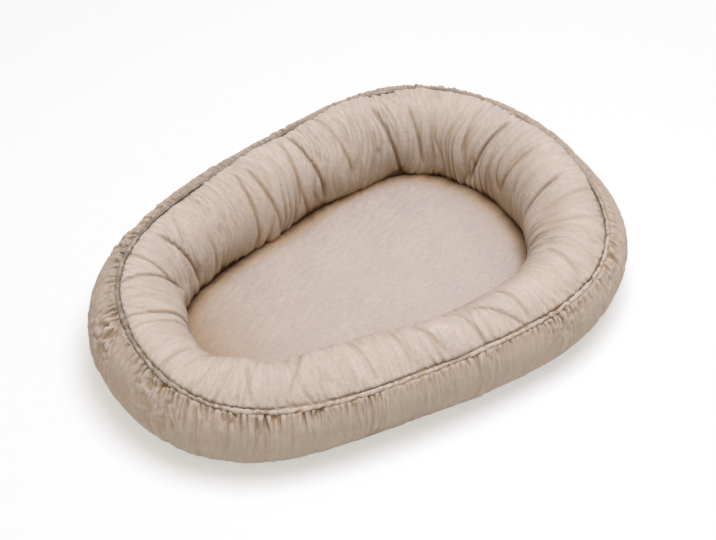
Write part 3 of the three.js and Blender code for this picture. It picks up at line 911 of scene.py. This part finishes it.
def sleep_surface():
    """The muslin over the mattress: crowned, tucked in at its edge and lightly rumpled."""
    rng = np.random.default_rng(seed + 3)
    rows, under_rows = 84, 12
    outline = plan_outline(720, well_angle, panel_lap)
    reach = np.concatenate([np.linspace(0, 1, rows) ** 0.9, np.linspace(1, 0, under_rows)])
    x = outline[:, :1] * reach
    y = outline[:, 1:] * reach
    edge = (1 - reach) * size_of(outline)[:, None]
    dipped = panel_level + panel_crown * (1 - reach ** 2) - panel_dip * fade(edge, panel_dip_reach, 1.3)
    along = slant_shares[0] * x + slant_shares[1] * y
    across = slant_shares[0] * y - slant_shares[1] * x
    rumple = soft_waves(rng, x, y, broad_waves)
    rumple += soft_waves(rng, x, 2 * y, cross_waves) + soft_waves(rng, x, y, crepe_waves)
    rumple += soft_waves(rng, 0.22 * along, across, slanted_waves)
    tugs = soft_waves(rng, 0.25 * np.arctan2(y, x), 0 * x, edge_tugs) * fade(edge, 0.025)
    rumple = rumple * (1 - fade(edge, 0.012)) + tugs * (1 - fade(edge, 0.004))
    level = dipped + np.clip(rumple, *wave_limits)
    level[:, rows:] = (dipped - panel_thickness)[:, rows:]
    # Painted shade: darker along the edge and towards the foot, where the walls stand close, and dark in
    # the crevice at the edge
    from_foot = np.hypot(x - outline[:, 0].min(), 0.8 * (y - 0.04))
    painted_shade = painted_shade_near(edge, painted_panel_edge_shade) + painted_shade_near(from_foot, painted_panel_foot_shade)
    painted_shade = np.clip(painted_shade + painted_shade_near(edge, painted_panel_crevice_shade), 0, 1)
    return pad_mesh("sleep_surface", np.stack([x, y, level], axis=-1), rows, painted_shade)


def wadding_pad():
    """The tufted wadding that crowns the sleeping surface."""
    rng = np.random.default_rng(seed + 4)
    outline = plan_outline(360, 180 + angle_below(wadding_level), -wadding_gap)
    top = []
    for share in 1 - (1 - np.linspace(0, 0.992, 28)) ** 1.3:
        drop = wadding_drop * fade((1 - share) * mean_reach, wadding_drop_reach, 1.5)
        top.append((share, wadding_level + panel_crown * (1 - share ** 2) - drop))
    edge = [(0.996, wadding_level - 0.0043), (0.994, wadding_base + 0.0002)]
    bottom = [(share, wadding_base) for share in np.linspace(0.985, 0, 10)]
    points = rings([(outline * share, level) for share, level in top + edge + bottom])
    tufts = np.clip(soft_waves(rng, points[..., 0], points[..., 1], (0.0003, 0.03)), -0.0005, 0.0003)
    points[..., 2] += tufts * (points[..., 2] > wadding_base + 0.002)
    return pad_mesh("wadding_pad", points, len(top))


def foam_pad():
    """The foam mattress, grooved underneath over the zip's channel."""
    columns = 720
    outline = plan_outline(columns, 180 + angle_below(foam_top), -foam_gap)
    middle = (foam_top + foam_base) / 2
    straight = (foam_top - foam_base) / 2 - foam_round
    top = [(outline * share, foam_top) for share in np.linspace(0, 0.97, 16)]
    edge = [
        (outline * (1 - foam_round * (1 - math.cos(turn)) / mean_reach),
         middle + math.copysign(straight, math.sin(turn) + 0.001) + foam_round * math.sin(turn))
        for turn in np.radians(np.linspace(90, -90, 9))
    ]
    groove = slot_outline(columns, channel_outer / 2 + groove_gap, channel_reach)
    bottom = [(blend(outline * 0.97, groove, part), foam_base) for part in np.linspace(0, 1, 8)]
    inside = [
        (slot_outline(columns, (channel_outer / 2 + 0.0002) * part, channel_reach), groove_roof)
        for part in (1.0, 0.6, 0.3, 0.0)
    ]
    return pad_mesh("foam_pad", rings(top + edge + bottom + inside), len(top))


def base_cloth():
    """The canvas base, with the channel that keeps the zip off the floor."""
    columns = 900
    outline = plan_outline(columns, base_angle, base_lap)
    inner = slot_outline(columns, channel_inner / 2, channel_reach)
    outer = slot_outline(columns, channel_outer / 2, channel_reach)
    slot = slot_outline(columns, slot_width / 2, slot_reach)
    hem = base_thickness / 2
    scale = size_of(outline).mean()
    edge = [
        (outline * (1 - hem * (1 - math.cos(turn)) / scale), hem + hem * math.sin(turn))
        for turn in np.radians(np.linspace(90, -90, 7))
    ]
    below = [(blend(outline * 0.985, inner, part), 0.0) for part in np.linspace(0, 0.97, 22)]
    roof = channel_roof + base_thickness
    channel = [
        (blend(inner, outline, 0.004), 0.0),
        (inner, soft_edge),
        (inner, 4 * soft_edge),
        (inner, channel_roof - soft_edge),
        (blend(inner, slot, 0.05), channel_roof),
        (blend(inner, slot, 0.7), channel_roof),
        (slot, channel_roof + slot_round),
        (slot, roof - slot_round),
        (blend(slot, outer, 0.3), roof),
        (blend(slot, outer, 0.95), roof),
        (outer, roof - soft_edge),
        (outer, base_thickness + soft_edge),
    ]
    above = [(blend(outer, outline * 0.985, part), base_thickness) for part in np.linspace(0.02, 1, 16)]
    points = rings(edge + below + channel + above)
    rng = np.random.default_rng(seed + 5)
    pucker = np.abs(soft_waves(rng, points[..., 0], points[..., 1], (base_pucker, 0.012)))
    hem_rows = slice(len(edge), len(edge) + 2)
    points[:, hem_rows, 2] += pucker[:, hem_rows]
    return grid_mesh("base_cloth", points, turned=True)


# Rings inside the roll

def ring_tube(size, half_across, half_rise):
    """A tube that runs round the ring along the outer seam."""
    columns, rows = size.shape
    turn = -round_turn(rows)[None, :]
    across = half_across * np.cos(turn) * size
    rise = ridge_middle + half_rise * np.sin(turn) * size
    x, y, out_x, out_y = (column[:, None] for column in place_at(round_shares(columns)))
    outward, height, normal_out, normal_up = section(seam_angle, climb=seam_climb(out_y))
    out = outward + rise * normal_out - across * normal_up
    up = height + rise * normal_up + across * normal_out
    return np.stack([x + out_x * out, y + out_y * out, up], axis=-1)


def seam_ridge():
    """The gathered casing that stands in the dent between the two covers."""
    rng = np.random.default_rng(seed + 2)
    columns, rows = 1680, 14
    ripple = np.clip(streaks(rng, (columns, rows), 1.3, 1.6), -1.8, 1.8)
    slow = np.clip(streaks(rng, (columns, 1), 8, 1), -2, 2)
    share = round_shares(columns)
    foot, head = foot_and_head(share[:, None])
    rough = 0.11 + 0.12 * (foot + head)
    size = np.clip(1 + rough * ripple + 0.06 * slow, 0.70, 1.45)
    # Painted shade where the casing is drawn thin, and painted grey shade in dashes where the seam rides
    # high
    painted_shade = np.clip((1.05 - size) / 0.9, 0, 0.4)
    painted_grey_dashes = 0.80 + 0.25 * np.clip(streaks(rng, (columns, 1), 3, 1), -2, 1)
    painted_grey_shade = np.broadcast_to(high_share(share) * painted_grey_dashes, painted_shade.shape)
    points = ring_tube(size, ridge_half_width, ridge_half_rise)
    return grid_mesh("seam_ridge", points, painted_shade, painted_grey_shade)


def casing_elastic():
    """The flat elastic inside the casing, rippled where it draws the cloth in."""
    columns, rows = 900, 12
    turn = round_turn(rows)[None, :]
    ripple = 1 + 0.06 * np.sin(elastic_ripples * round_turn(columns))[:, None]
    size = ripple * (np.abs(np.cos(turn)) ** 4 + np.abs(np.sin(turn)) ** 4) ** -0.25
    points = ring_tube(size, elastic_half_width, elastic_half_rise)
    return grid_mesh("casing_elastic_band", points)


def stay_tape():
    """The tape that holds the gathers along the inner seam."""
    turn = round_turn(12)
    angle = well_angle + stay_angle + stay_half_angle * (1 + np.cos(turn))
    inset = stay_inset + stay_half_thickness * np.sin(turn)
    share = round_shares(900)
    points = [surface(share, np.array([a]), d)[0][:, 0] for a, d in zip(angle, inset)]
    return grid_mesh("stay_tape", np.stack(points, axis=1))


def skin(share, low, inset, level):
    """Rings of points under the covers, no lower than a level, and their middles."""
    points, normals = surface(share % 1, ring_angle, inset)
    points = points + normals * between(low, (share % 1) * inner_columns)[..., None]
    points[..., 2] = np.maximum(points[..., 2], level)
    return points, points.mean(axis=1, keepdims=True)


def bolster(name, low, inset, columns, end_gap):
    """A closed skin round the whole section, from the foot round the head and back."""
    gap_share = end_gap / path_length
    share = np.linspace(0.5 + gap_share, 1.5 - gap_share, columns)
    points, middle = skin(share, low, inset, bolster_level + inset)
    caps = [blend(middle, points, part) for part in (0.0, 0.35, 0.7)]
    first = np.stack([cap[0] for cap in caps])
    last = np.stack([cap[-1] for cap in reversed(caps)])
    body = np.concatenate([first, points, last])
    obj = grid_mesh(name, body, round_columns=False)
    mend(obj.data)
    return obj


def bolster_end(name, low, side):
    """One closed end of the bolster's liner, puckered towards its middle."""
    places = np.repeat([cap_near, cap_far], 3) / path_length
    parts = np.array([0.0, 0.5, 1.0, 1.0, 0.5, 0.0])[:, None, None]
    foot_low = np.broadcast_to(low[inner_columns // 2], low.shape)
    points, middle = skin(0.5 + side * places, foot_low, liner_inset, bolster_level)
    loops = blend(middle, points, parts)[::side]
    obj = grid_mesh(name, np.swapaxes(loops, 0, 1), round_rows=False, turned=True)
    mend(obj.data)
    return obj


# Zip

def zip_tape(name, side):
    """A woven tape with a thicker cord along the edge that carries the coil."""
    x = np.linspace(-tape_reach, tape_reach, 240)
    near = tape_gap / 2
    far = near + tape_width
    profile = (
        (near, 0.5), (near + 0.0002, 1.0), (near + 0.0018, 1.0), (near + 0.0024, 0.85),
        (far - 0.0012, 0.85), (far - 0.0006, 1.0), (far, 0.7),
        (far, 0.3), (far - 0.0006, 0.0), (near + 0.0002, 0.0),
    )
    y, z = np.array(profile).T
    level = tape_bottom + tape_thickness * z
    points = np.stack(np.broadcast_arrays(x[:, None], side * y, level), axis=-1)
    obj = grid_mesh(name, points, round_columns=False, turned=side > 0)
    mend(obj.data, fill_ends=True)
    return obj


def rim(centre, aside, up, radius, sides):
    """The points of a circle round every centre."""
    turn = round_turn(sides)[:, None]
    centre, aside, up = (places[..., None, :] for places in (centre, aside, up))
    return centre + radius * (aside * np.cos(turn) + up * np.sin(turn))


def zip_coil(name, side):
    """The nylon coil: a flattened helix of wire that runs the length of the zip."""
    steps = 12
    count = int(2 * coil_end / coil_pitch) * steps
    along = np.linspace(-coil_end, coil_end, count)
    parted = smooth((coil_part_end - along) / (coil_part_end - coil_part_start))
    turn = 2 * np.pi * np.arange(count) / steps
    half = coil_size / 2 - coil_wire
    y = side * (blend(coil_closed, coil_parted, parted) - half * np.cos(turn))
    path = np.stack([along, y, coil_middle + half * np.sin(turn)], axis=-1)
    ahead = unit(np.gradient(path, axis=0))
    aside = unit(np.cross(ahead, np.array([1.0, 0.0, 0.0])))
    points = rim(path, aside, np.cross(aside, ahead), coil_wire, 5)
    obj = grid_mesh(name, points, round_columns=False)
    mend(obj.data, fill_ends=True)
    return obj


def zip_stitches():
    """A row of thread stitches round the slot, half sunk in the cloth."""
    outline = slot_outline(1200, slot_width / 2 + stitch_inset, slot_reach)
    path = np.column_stack([outline, np.full(len(outline), channel_roof)])
    closed = np.concatenate([path, path[:1]])
    run = running(size_of(np.diff(closed, axis=0)))
    count = int(run[-1] / stitch_pitch)
    start = round_shares(count) * run[-1]
    down = np.array([[0.0, 0.0, -1.0]])

    def sample(at):
        return np.stack([np.interp(at, run, column) for column in closed.T], axis=-1)

    part = np.array([0.0, 0.15, 0.5, 0.85, 1.0])
    rise = stitch_radius * np.array([-0.8, 0.35, 0.8, 0.35, -0.8])
    radius = stitch_radius * np.array([0.35, 0.9, 1.0, 0.9, 0.35])
    at = start[:, None] + part * stitch_length
    ahead = sample(at + stitch_step) - sample(at - stitch_step)
    centre = sample(at) + down * rise[:, None]
    points = rim(centre, unit(np.cross(ahead, down)), down, radius[:, None, None], stitch_sides)
    stitch_points = len(part) * stitch_sides
    firsts = np.arange(count)[:, None] * stitch_points
    quads = firsts + grid_quads(len(part), stitch_sides, round_columns=False)[2].reshape(1, -1)
    cap = firsts + np.arange(stitch_sides)
    far_cap = cap + stitch_points - stitch_sides
    faces = [*quads.reshape(-1, 4).tolist(), *cap[:, ::-1].tolist(), *far_cap.tolist()]
    return link_mesh("zip_stitches", mesh_from("zip_stitches", points, faces))


# Materials

def add_node(tree, kind, inputs=(), **settings):
    """A new node. Each input is a name with either a value or another node's output."""
    node = tree.nodes.new(kind)
    for key, value in settings.items():
        setattr(node, key, value)
    for key, value in dict(inputs).items():
        set_input(tree, node.inputs[key], value)
    return node


def set_input(tree, socket, value):
    if isinstance(value, bpy.types.NodeSocket):
        tree.links.new(value, socket)
    else:
        socket.default_value = value


def set_surface(tree, roughness, specular=0.2, sheen=0.0):
    """Sets how rough and glossy a surface is."""
    values = zip(("Roughness", "Specular IOR Level", "Sheen Weight"), (roughness, specular, sheen))
    for key, value in (*values, ("Sheen Roughness", 0.6)):
        tree.nodes["Principled BSDF"].inputs[key].default_value = value


def new_material(name, make, *looks):
    material = bpy.data.materials.new(name)
    material.use_nodes = True
    make(material.node_tree, *looks)
    return material


def attribute(tree, name, part="Fac"):
    return add_node(tree, "ShaderNodeAttribute", attribute_name=name).outputs[part]


def object_place(tree):
    return add_node(tree, "ShaderNodeTexCoord").outputs["Object"]


def noise(tree, scale, detail=3.0, roughness=0.6, place=None):
    """Noise over the object, or over another place."""
    inputs = {"Scale": scale, "Detail": detail, "Roughness": roughness}
    inputs["Vector"] = object_place(tree) if place is None else place
    return add_node(tree, "ShaderNodeTexNoise", inputs).outputs["Fac"]


def waves(tree, direction, scale, wander, **more):
    """Even bands across the cloth, from 0 to 1."""
    cloth = add_node(tree, "ShaderNodeUVMap", uv_map="cloth").outputs["UV"]
    inputs = {"Vector": cloth, "Scale": scale, "Distortion": wander, **more}
    return add_node(tree, "ShaderNodeTexWave", inputs, bands_direction=direction).outputs["Fac"]


def weave(tree, scale, wander=2.2):
    """Crossing threads, from 0 between them to 1 on top."""
    detail = {"Detail": 1.0, "Detail Scale": 0.35}
    warp, weft = (waves(tree, direction, scale, wander, **detail) for direction in ("X", "Y"))
    return times(tree, warp, weft)


def shade(tree, value, darkest, lightest, low=0.3, high=0.7):
    """A brightness between two limits that follows a value."""
    inputs = {"Value": value, "From Min": low, "From Max": high, "To Min": darkest, "To Max": lightest}
    return add_node(tree, "ShaderNodeMapRange", inputs).outputs["Result"]


def times(tree, first, second):
    return add_node(tree, "ShaderNodeMath", {0: first, 1: second}, operation="MULTIPLY").outputs[0]


def mix_colours(tree, factor, first, second, way="MIX"):
    node = add_node(tree, "ShaderNodeMix", data_type="RGBA", blend_type=way)
    wanted = {"Factor_Float": factor, "A_Color": first, "B_Color": second}
    for socket in node.inputs:
        if socket.identifier in wanted:
            set_input(tree, socket, wanted[socket.identifier])
    return next(socket for socket in node.outputs if socket.identifier == "Result_Color")


def with_painted_shade(tree, colour):
    """The colour on the high folds, with painted shade: browner between the folds, dark in the seams and
    crevices, and grey where the seam band is shaded.
    """
    ramp = add_node(tree, "ShaderNodeValToRGB", {"Fac": attribute(tree, "painted_shade_amount")})
    stops = ramp.color_ramp.elements
    stops[0].color = (*colour, 1)
    stops[1].color = (*painted_crevice_shade_brown, 1)
    stops.new(painted_shade_brown_place).color = (*painted_fold_shade_brown, 1)
    return mix_colours(tree, attribute(tree, "painted_grey_shade_amount"), ramp.outputs["Color"], (*painted_band_grey_shade, 1))


def finish(tree, colour, *layers):
    """Colour and bump from layers, the finest first: each has a height from 0 to 1, its darkest and
    lightest shade (and the heights that they stand for), and its depth in metres. Where a layer has
    depth, its darker shade lies in its low places: partly the material's own tone, partly painted shade
    in its troughs."""
    total = 1.0
    bump = {}
    for height, shades, depth in layers:
        total = times(tree, total, shade(tree, height, *shades))
        if depth:
            inputs = {"Height": height, "Distance": depth, "Strength": 1.0, **bump}
            bump = {"Normal": add_node(tree, "ShaderNodeBump", inputs).outputs["Normal"]}
    grey = add_node(tree, "ShaderNodeCombineColor", {"Red": total, "Green": total, "Blue": total})
    result = mix_colours(tree, 1.0, colour, grey.outputs["Color"], "MULTIPLY")
    for key, value in {"Base Color": result, **bump}.items():
        tree.links.new(value, tree.nodes["Principled BSDF"].inputs[key])


def muslin(tree, colour, stretch, crinkle_depth, crinkle_painted_shade=0.90):
    """Gauzy crinkled cotton: long fine crinkles, crepe grain, a loose weave and mottled colour, over
    painted shade between the folds and in the seams.
    """
    set_surface(tree, 0.95, 0.12, 0.10)
    place = attribute(tree, "crinkle_place", "Vector")
    drawn = add_node(tree, "ShaderNodeMapping", {"Vector": place, "Scale": stretch}).outputs["Vector"]
    finish(
        tree, with_painted_shade(tree, colour),
        (weave(tree, 330), (0.95, 1.03, 0.0, 1.0), 0.0002),
        (noise(tree, 520), (0.96, 1.03), 0.0007),
        (noise(tree, 170), (0.96, 1.03), 0.0012),
        # The crinkles are darker in their troughs: painted shade
        (noise(tree, 230, 3.0, 0.55, drawn), (crinkle_painted_shade, 1.03, 0.25, 0.7), crinkle_depth),
        (noise(tree, 17, 4.0), (0.955, 1.03), 0),
    )


def canvas(tree, colour, threads_scale=420):
    """Plain tight cotton, with slubs."""
    set_surface(tree, 0.9, 0.15, 0.05)
    finish(
        tree, (*colour, 1),
        (weave(tree, threads_scale, 1.0), (0.90, 1.04, 0.0, 1.0), 0.0003),
        (noise(tree, 300), (0.95, 1.03), 0.0004),
        (noise(tree, 24, 5.0), (0.96, 1.03), 0),
    )


def ribbed(tree, colour):
    """Woven elastic with ribs across it."""
    set_surface(tree, 0.7, 0.3)
    finish(
        tree, (*colour, 1),
        (noise(tree, 400, 4.0), (0.95, 1.03), 0.0002),
        (waves(tree, "X", 210, 0.6), (0.85, 1.03, 0.0, 1.0), 0.0004),
    )


def fibre(tree, colour):
    """Lofty polyester fibre: hairs and tufts."""
    set_surface(tree, 1.0, 0.1, 0.4)
    finish(
        tree, (*colour, 1),
        (noise(tree, 700, 6.0, 0.7), (0.9, 1.02), 0.0006),
        (noise(tree, 60, 5.0, 0.65), (0.93, 1.02), 0.003),
    )


def foam(tree, colour):
    """Open-cell foam with small pores."""
    set_surface(tree, 0.95, 0.15)
    inputs = {"Vector": object_place(tree), "Scale": 650}
    pores = add_node(tree, "ShaderNodeTexVoronoi", inputs).outputs["Distance"]
    finish(
        tree, (*colour, 1),
        (pores, (0.82, 1.03, 0.1, 0.6), 0.0008),
        (noise(tree, 20, 4.0), (0.95, 1.03), 0.001),
    )


def nylon(tree, colour):
    """Nylon wire, faintly streaked."""
    set_surface(tree, 0.38, 0.45)
    finish(tree, (*colour, 1), (noise(tree, 180), (0.93, 1.04), 0.0001))


def enamel(tree, colour):
    """Painted die-cast metal, with a faint orange peel and duller handled spots."""
    set_surface(tree, 0.34, 0.5)
    shiny = tree.nodes["Principled BSDF"].inputs
    shiny["Coat Weight"].default_value = 0.3
    shiny["Coat Roughness"].default_value = 0.2
    handled = noise(tree, 240, 4.0)
    peel = noise(tree, 900, 2.0)
    finish(tree, (*colour, 1), (peel, (0.98, 1.01), 0.00005), (handled, (0.9, 1.04), 0))
    tree.links.new(shade(tree, handled, 0.28, 0.46), shiny["Roughness"])


def seen_as(tree, output, part, plain, shown):
    """Mixes what camera rays see into a plain surface."""
    seen = add_node(tree, "ShaderNodeLightPath").outputs["Is Camera Ray"]
    inputs = {0: times(tree, seen, part), 1: plain.outputs[0], 2: shown.outputs[0]}
    mixed = add_node(tree, "ShaderNodeMixShader", inputs)
    tree.links.new(mixed.outputs[0], tree.nodes[output].inputs["Surface"])


def studio_paper(tree, colour):
    """White paper whose shadows are partly filled in."""
    set_surface(tree, 0.95, 0.1)
    finish(tree, (*colour, 1), (noise(tree, 40, 4.0), (0.99, 1.0), 0))
    glow = add_node(tree, "ShaderNodeEmission", {"Color": (1, 1, 1, 1), "Strength": 1.0})
    seen_as(tree, "Material Output", shadow_fill, tree.nodes["Principled BSDF"], glow)


# Camera, light and floor

def aim(obj, place, back):
    """Puts an object at a place, with its back towards a direction."""
    obj.location = place
    obj.rotation_mode = "QUATERNION"
    obj.rotation_quaternion = (-back).to_track_quat("-Z", "Y")


def add_camera():
    """The camera, at the place fitted to the photo."""
    data = bpy.data.cameras.new("camera")
    data.sensor_width = 36
    data.lens = 90.5
    data.clip_end = 50
    turn = math.radians(camera_azimuth)
    rise = math.radians(camera_elevation)
    level = math.cos(rise)
    back = Vector((math.sin(turn) * level, -math.cos(turn) * level, math.sin(rise)))
    camera = add_object("camera", data)
    aim(camera, Vector(camera_target) + back * camera_distance, back)
    bpy.context.scene.camera = camera


def add_light():
    """One soft round light over the lounger."""
    data = bpy.data.lights.new("top", "AREA")
    data.shape = "DISK"
    data.size = 1.8
    data.energy = 74.5
    data.color = (0.945, 1.04, 1.27)
    aim(add_object("top", data), light_place, Vector(light_place))


def add_floor():
    """A pale floor, open under the base's middle so that the zip can be seen from below."""
    columns = 240
    inner = plan_outline(columns, base_angle, -floor_lap)
    turn = round_turn(columns)
    far = floor_reach * np.column_stack([np.cos(turn), np.sin(turn)])
    points = rings([(inner, 0.0), (blend(inner, far, floor_ring_share), 0.0), (far, 0.0)])
    floor = grid_mesh("floor", points, round_rows=False, turned=True)
    floor.data.materials.append(new_material("floor", studio_paper, (0.86, 0.86, 0.85)))


def add_world():
    """Warm light from all sides, seen as white by the camera."""
    world = bpy.data.worlds.new("world")
    bpy.context.scene.world = world
    world.use_nodes = True
    tree = world.node_tree
    background = tree.nodes["Background"]
    background.inputs["Color"].default_value = (*sky_gold, 1)
    background.inputs["Strength"].default_value = sky_strength
    white = add_node(tree, "ShaderNodeBackground", {"Color": (1, 1, 1, 1), "Strength": 1.0})
    seen_as(tree, "World Output", 1.0, background, white)
    bpy.context.scene.view_settings.view_transform = "Standard"


# The whole object

def make_materials():
    wanted = {
        "crown_muslin": (muslin, sand, along_ring, 0.0014),
        "side_muslin": (muslin, sand, along_ring, 0.0014),
        "panel_muslin": (muslin, panel_sand, along_panel, 0.0008, 0.95),
        "base_cotton": (canvas, (0.56, 0.45, 0.36)),
        "lining_cotton": (canvas, (0.81, 0.775, 0.715)),
        "elastic_band": (ribbed, (0.75, 0.71, 0.64)),
        "polyester_fibre": (fibre, (0.9, 0.885, 0.85)),
        "mattress_foam": (foam, (0.87, 0.80, 0.62)),
        "zip_tape": (canvas, zip_sand, 520),
        "zip_coil": (nylon, zip_sand),
        "zip_metal": (enamel, (0.49, 0.39, 0.30)),
    }
    return {name: new_material(name, *looks) for name, looks in wanted.items()}


def dress(obj, slot_name, *nodes, fill=None):
    """Gives a piece its body and its material, and hides the CAD nodes that it stands for."""
    obj.data.materials.append(materials[slot_name])
    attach(obj, "lounger")
    if nodes:
        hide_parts(*nodes)


def add_roll():
    """The two covers, their seams, and the liner and filling that follow them inside."""
    low = np.zeros((inner_columns, len(ring_angle)))
    covers = (
        ("crown_cover", "crown_muslin", "bumper_top_cover", crown_cloth(), 14),
        ("side_cover", "side_muslin", "bumper_side_cover", side_cloth(), 9),
    )
    for name, slot_name, node, (cloth, sheet, painted_shade, painted_grey_shade), rows in covers:
        cover = grid_mesh(name, closed_cover(cloth, sheet, rows), painted_shade, painted_grey_shade)
        dress(cover, slot_name, node, fill=0.8)
        angle = sheet[1]
        inside = (ring_angle > angle[0] - 5) & (ring_angle < angle[-1] + 5)
        found = inner_lift(cloth, sheet, ring_angle[inside])
        low[:, inside] = np.minimum(low[:, inside], found)
    dress(seam_ridge(), "side_muslin", "seam_casing")
    dress(casing_elastic(), "elastic_band", "casing_elastic")
    dress(stay_tape(), "lining_cotton", "well_stay_tape")
    liner = bolster("liner_tube", low, liner_inset, 561, liner_end_gap)
    filling = bolster("filling", low, fill_inset, 421, fill_end_gap)
    dress(liner, "lining_cotton", "bolster_liner")
    dress(filling, "polyester_fibre", "bolster_fill", fill=0.9)
    dress(bolster_end("liner_cap_left", low, 1), "lining_cotton", "liner_end_left")
    dress(bolster_end("liner_cap_right", low, -1), "lining_cotton", "liner_end_right")


def add_well():
    dress(sleep_surface(), "panel_muslin", "sleep_panel", fill=0.5)
    dress(wadding_pad(), "polyester_fibre", "mattress_wadding", fill=0.6)
    dress(foam_pad(), "mattress_foam", "mattress_core", fill=1.0)


def add_base():
    dress(base_cloth(), "base_cotton", "base_panel", fill=1.0)
    for word, side in (("left", 1), ("right", -1)):
        dress(zip_tape("woven_tape_" + word, side), "zip_tape", "zip_tape_" + word)
        dress(zip_coil("coil_" + word, side), "zip_coil", "zip_coil_" + word)
    dress(zip_stitches(), "base_cotton")


def finish_metal():
    """Enamel on the zip's metal, which stays as the frame has it."""
    for name in ("top_stop_left", "top_stop_right", "bottom_stop", "slider", "pull"):
        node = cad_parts["zip_" + name]
        node.data.materials.clear()
        node.data.materials.append(materials["zip_metal"])


add_camera()
materials = make_materials()
add_roll()
add_well()
add_base()
finish_metal()
add_light()
add_floor()
add_world()
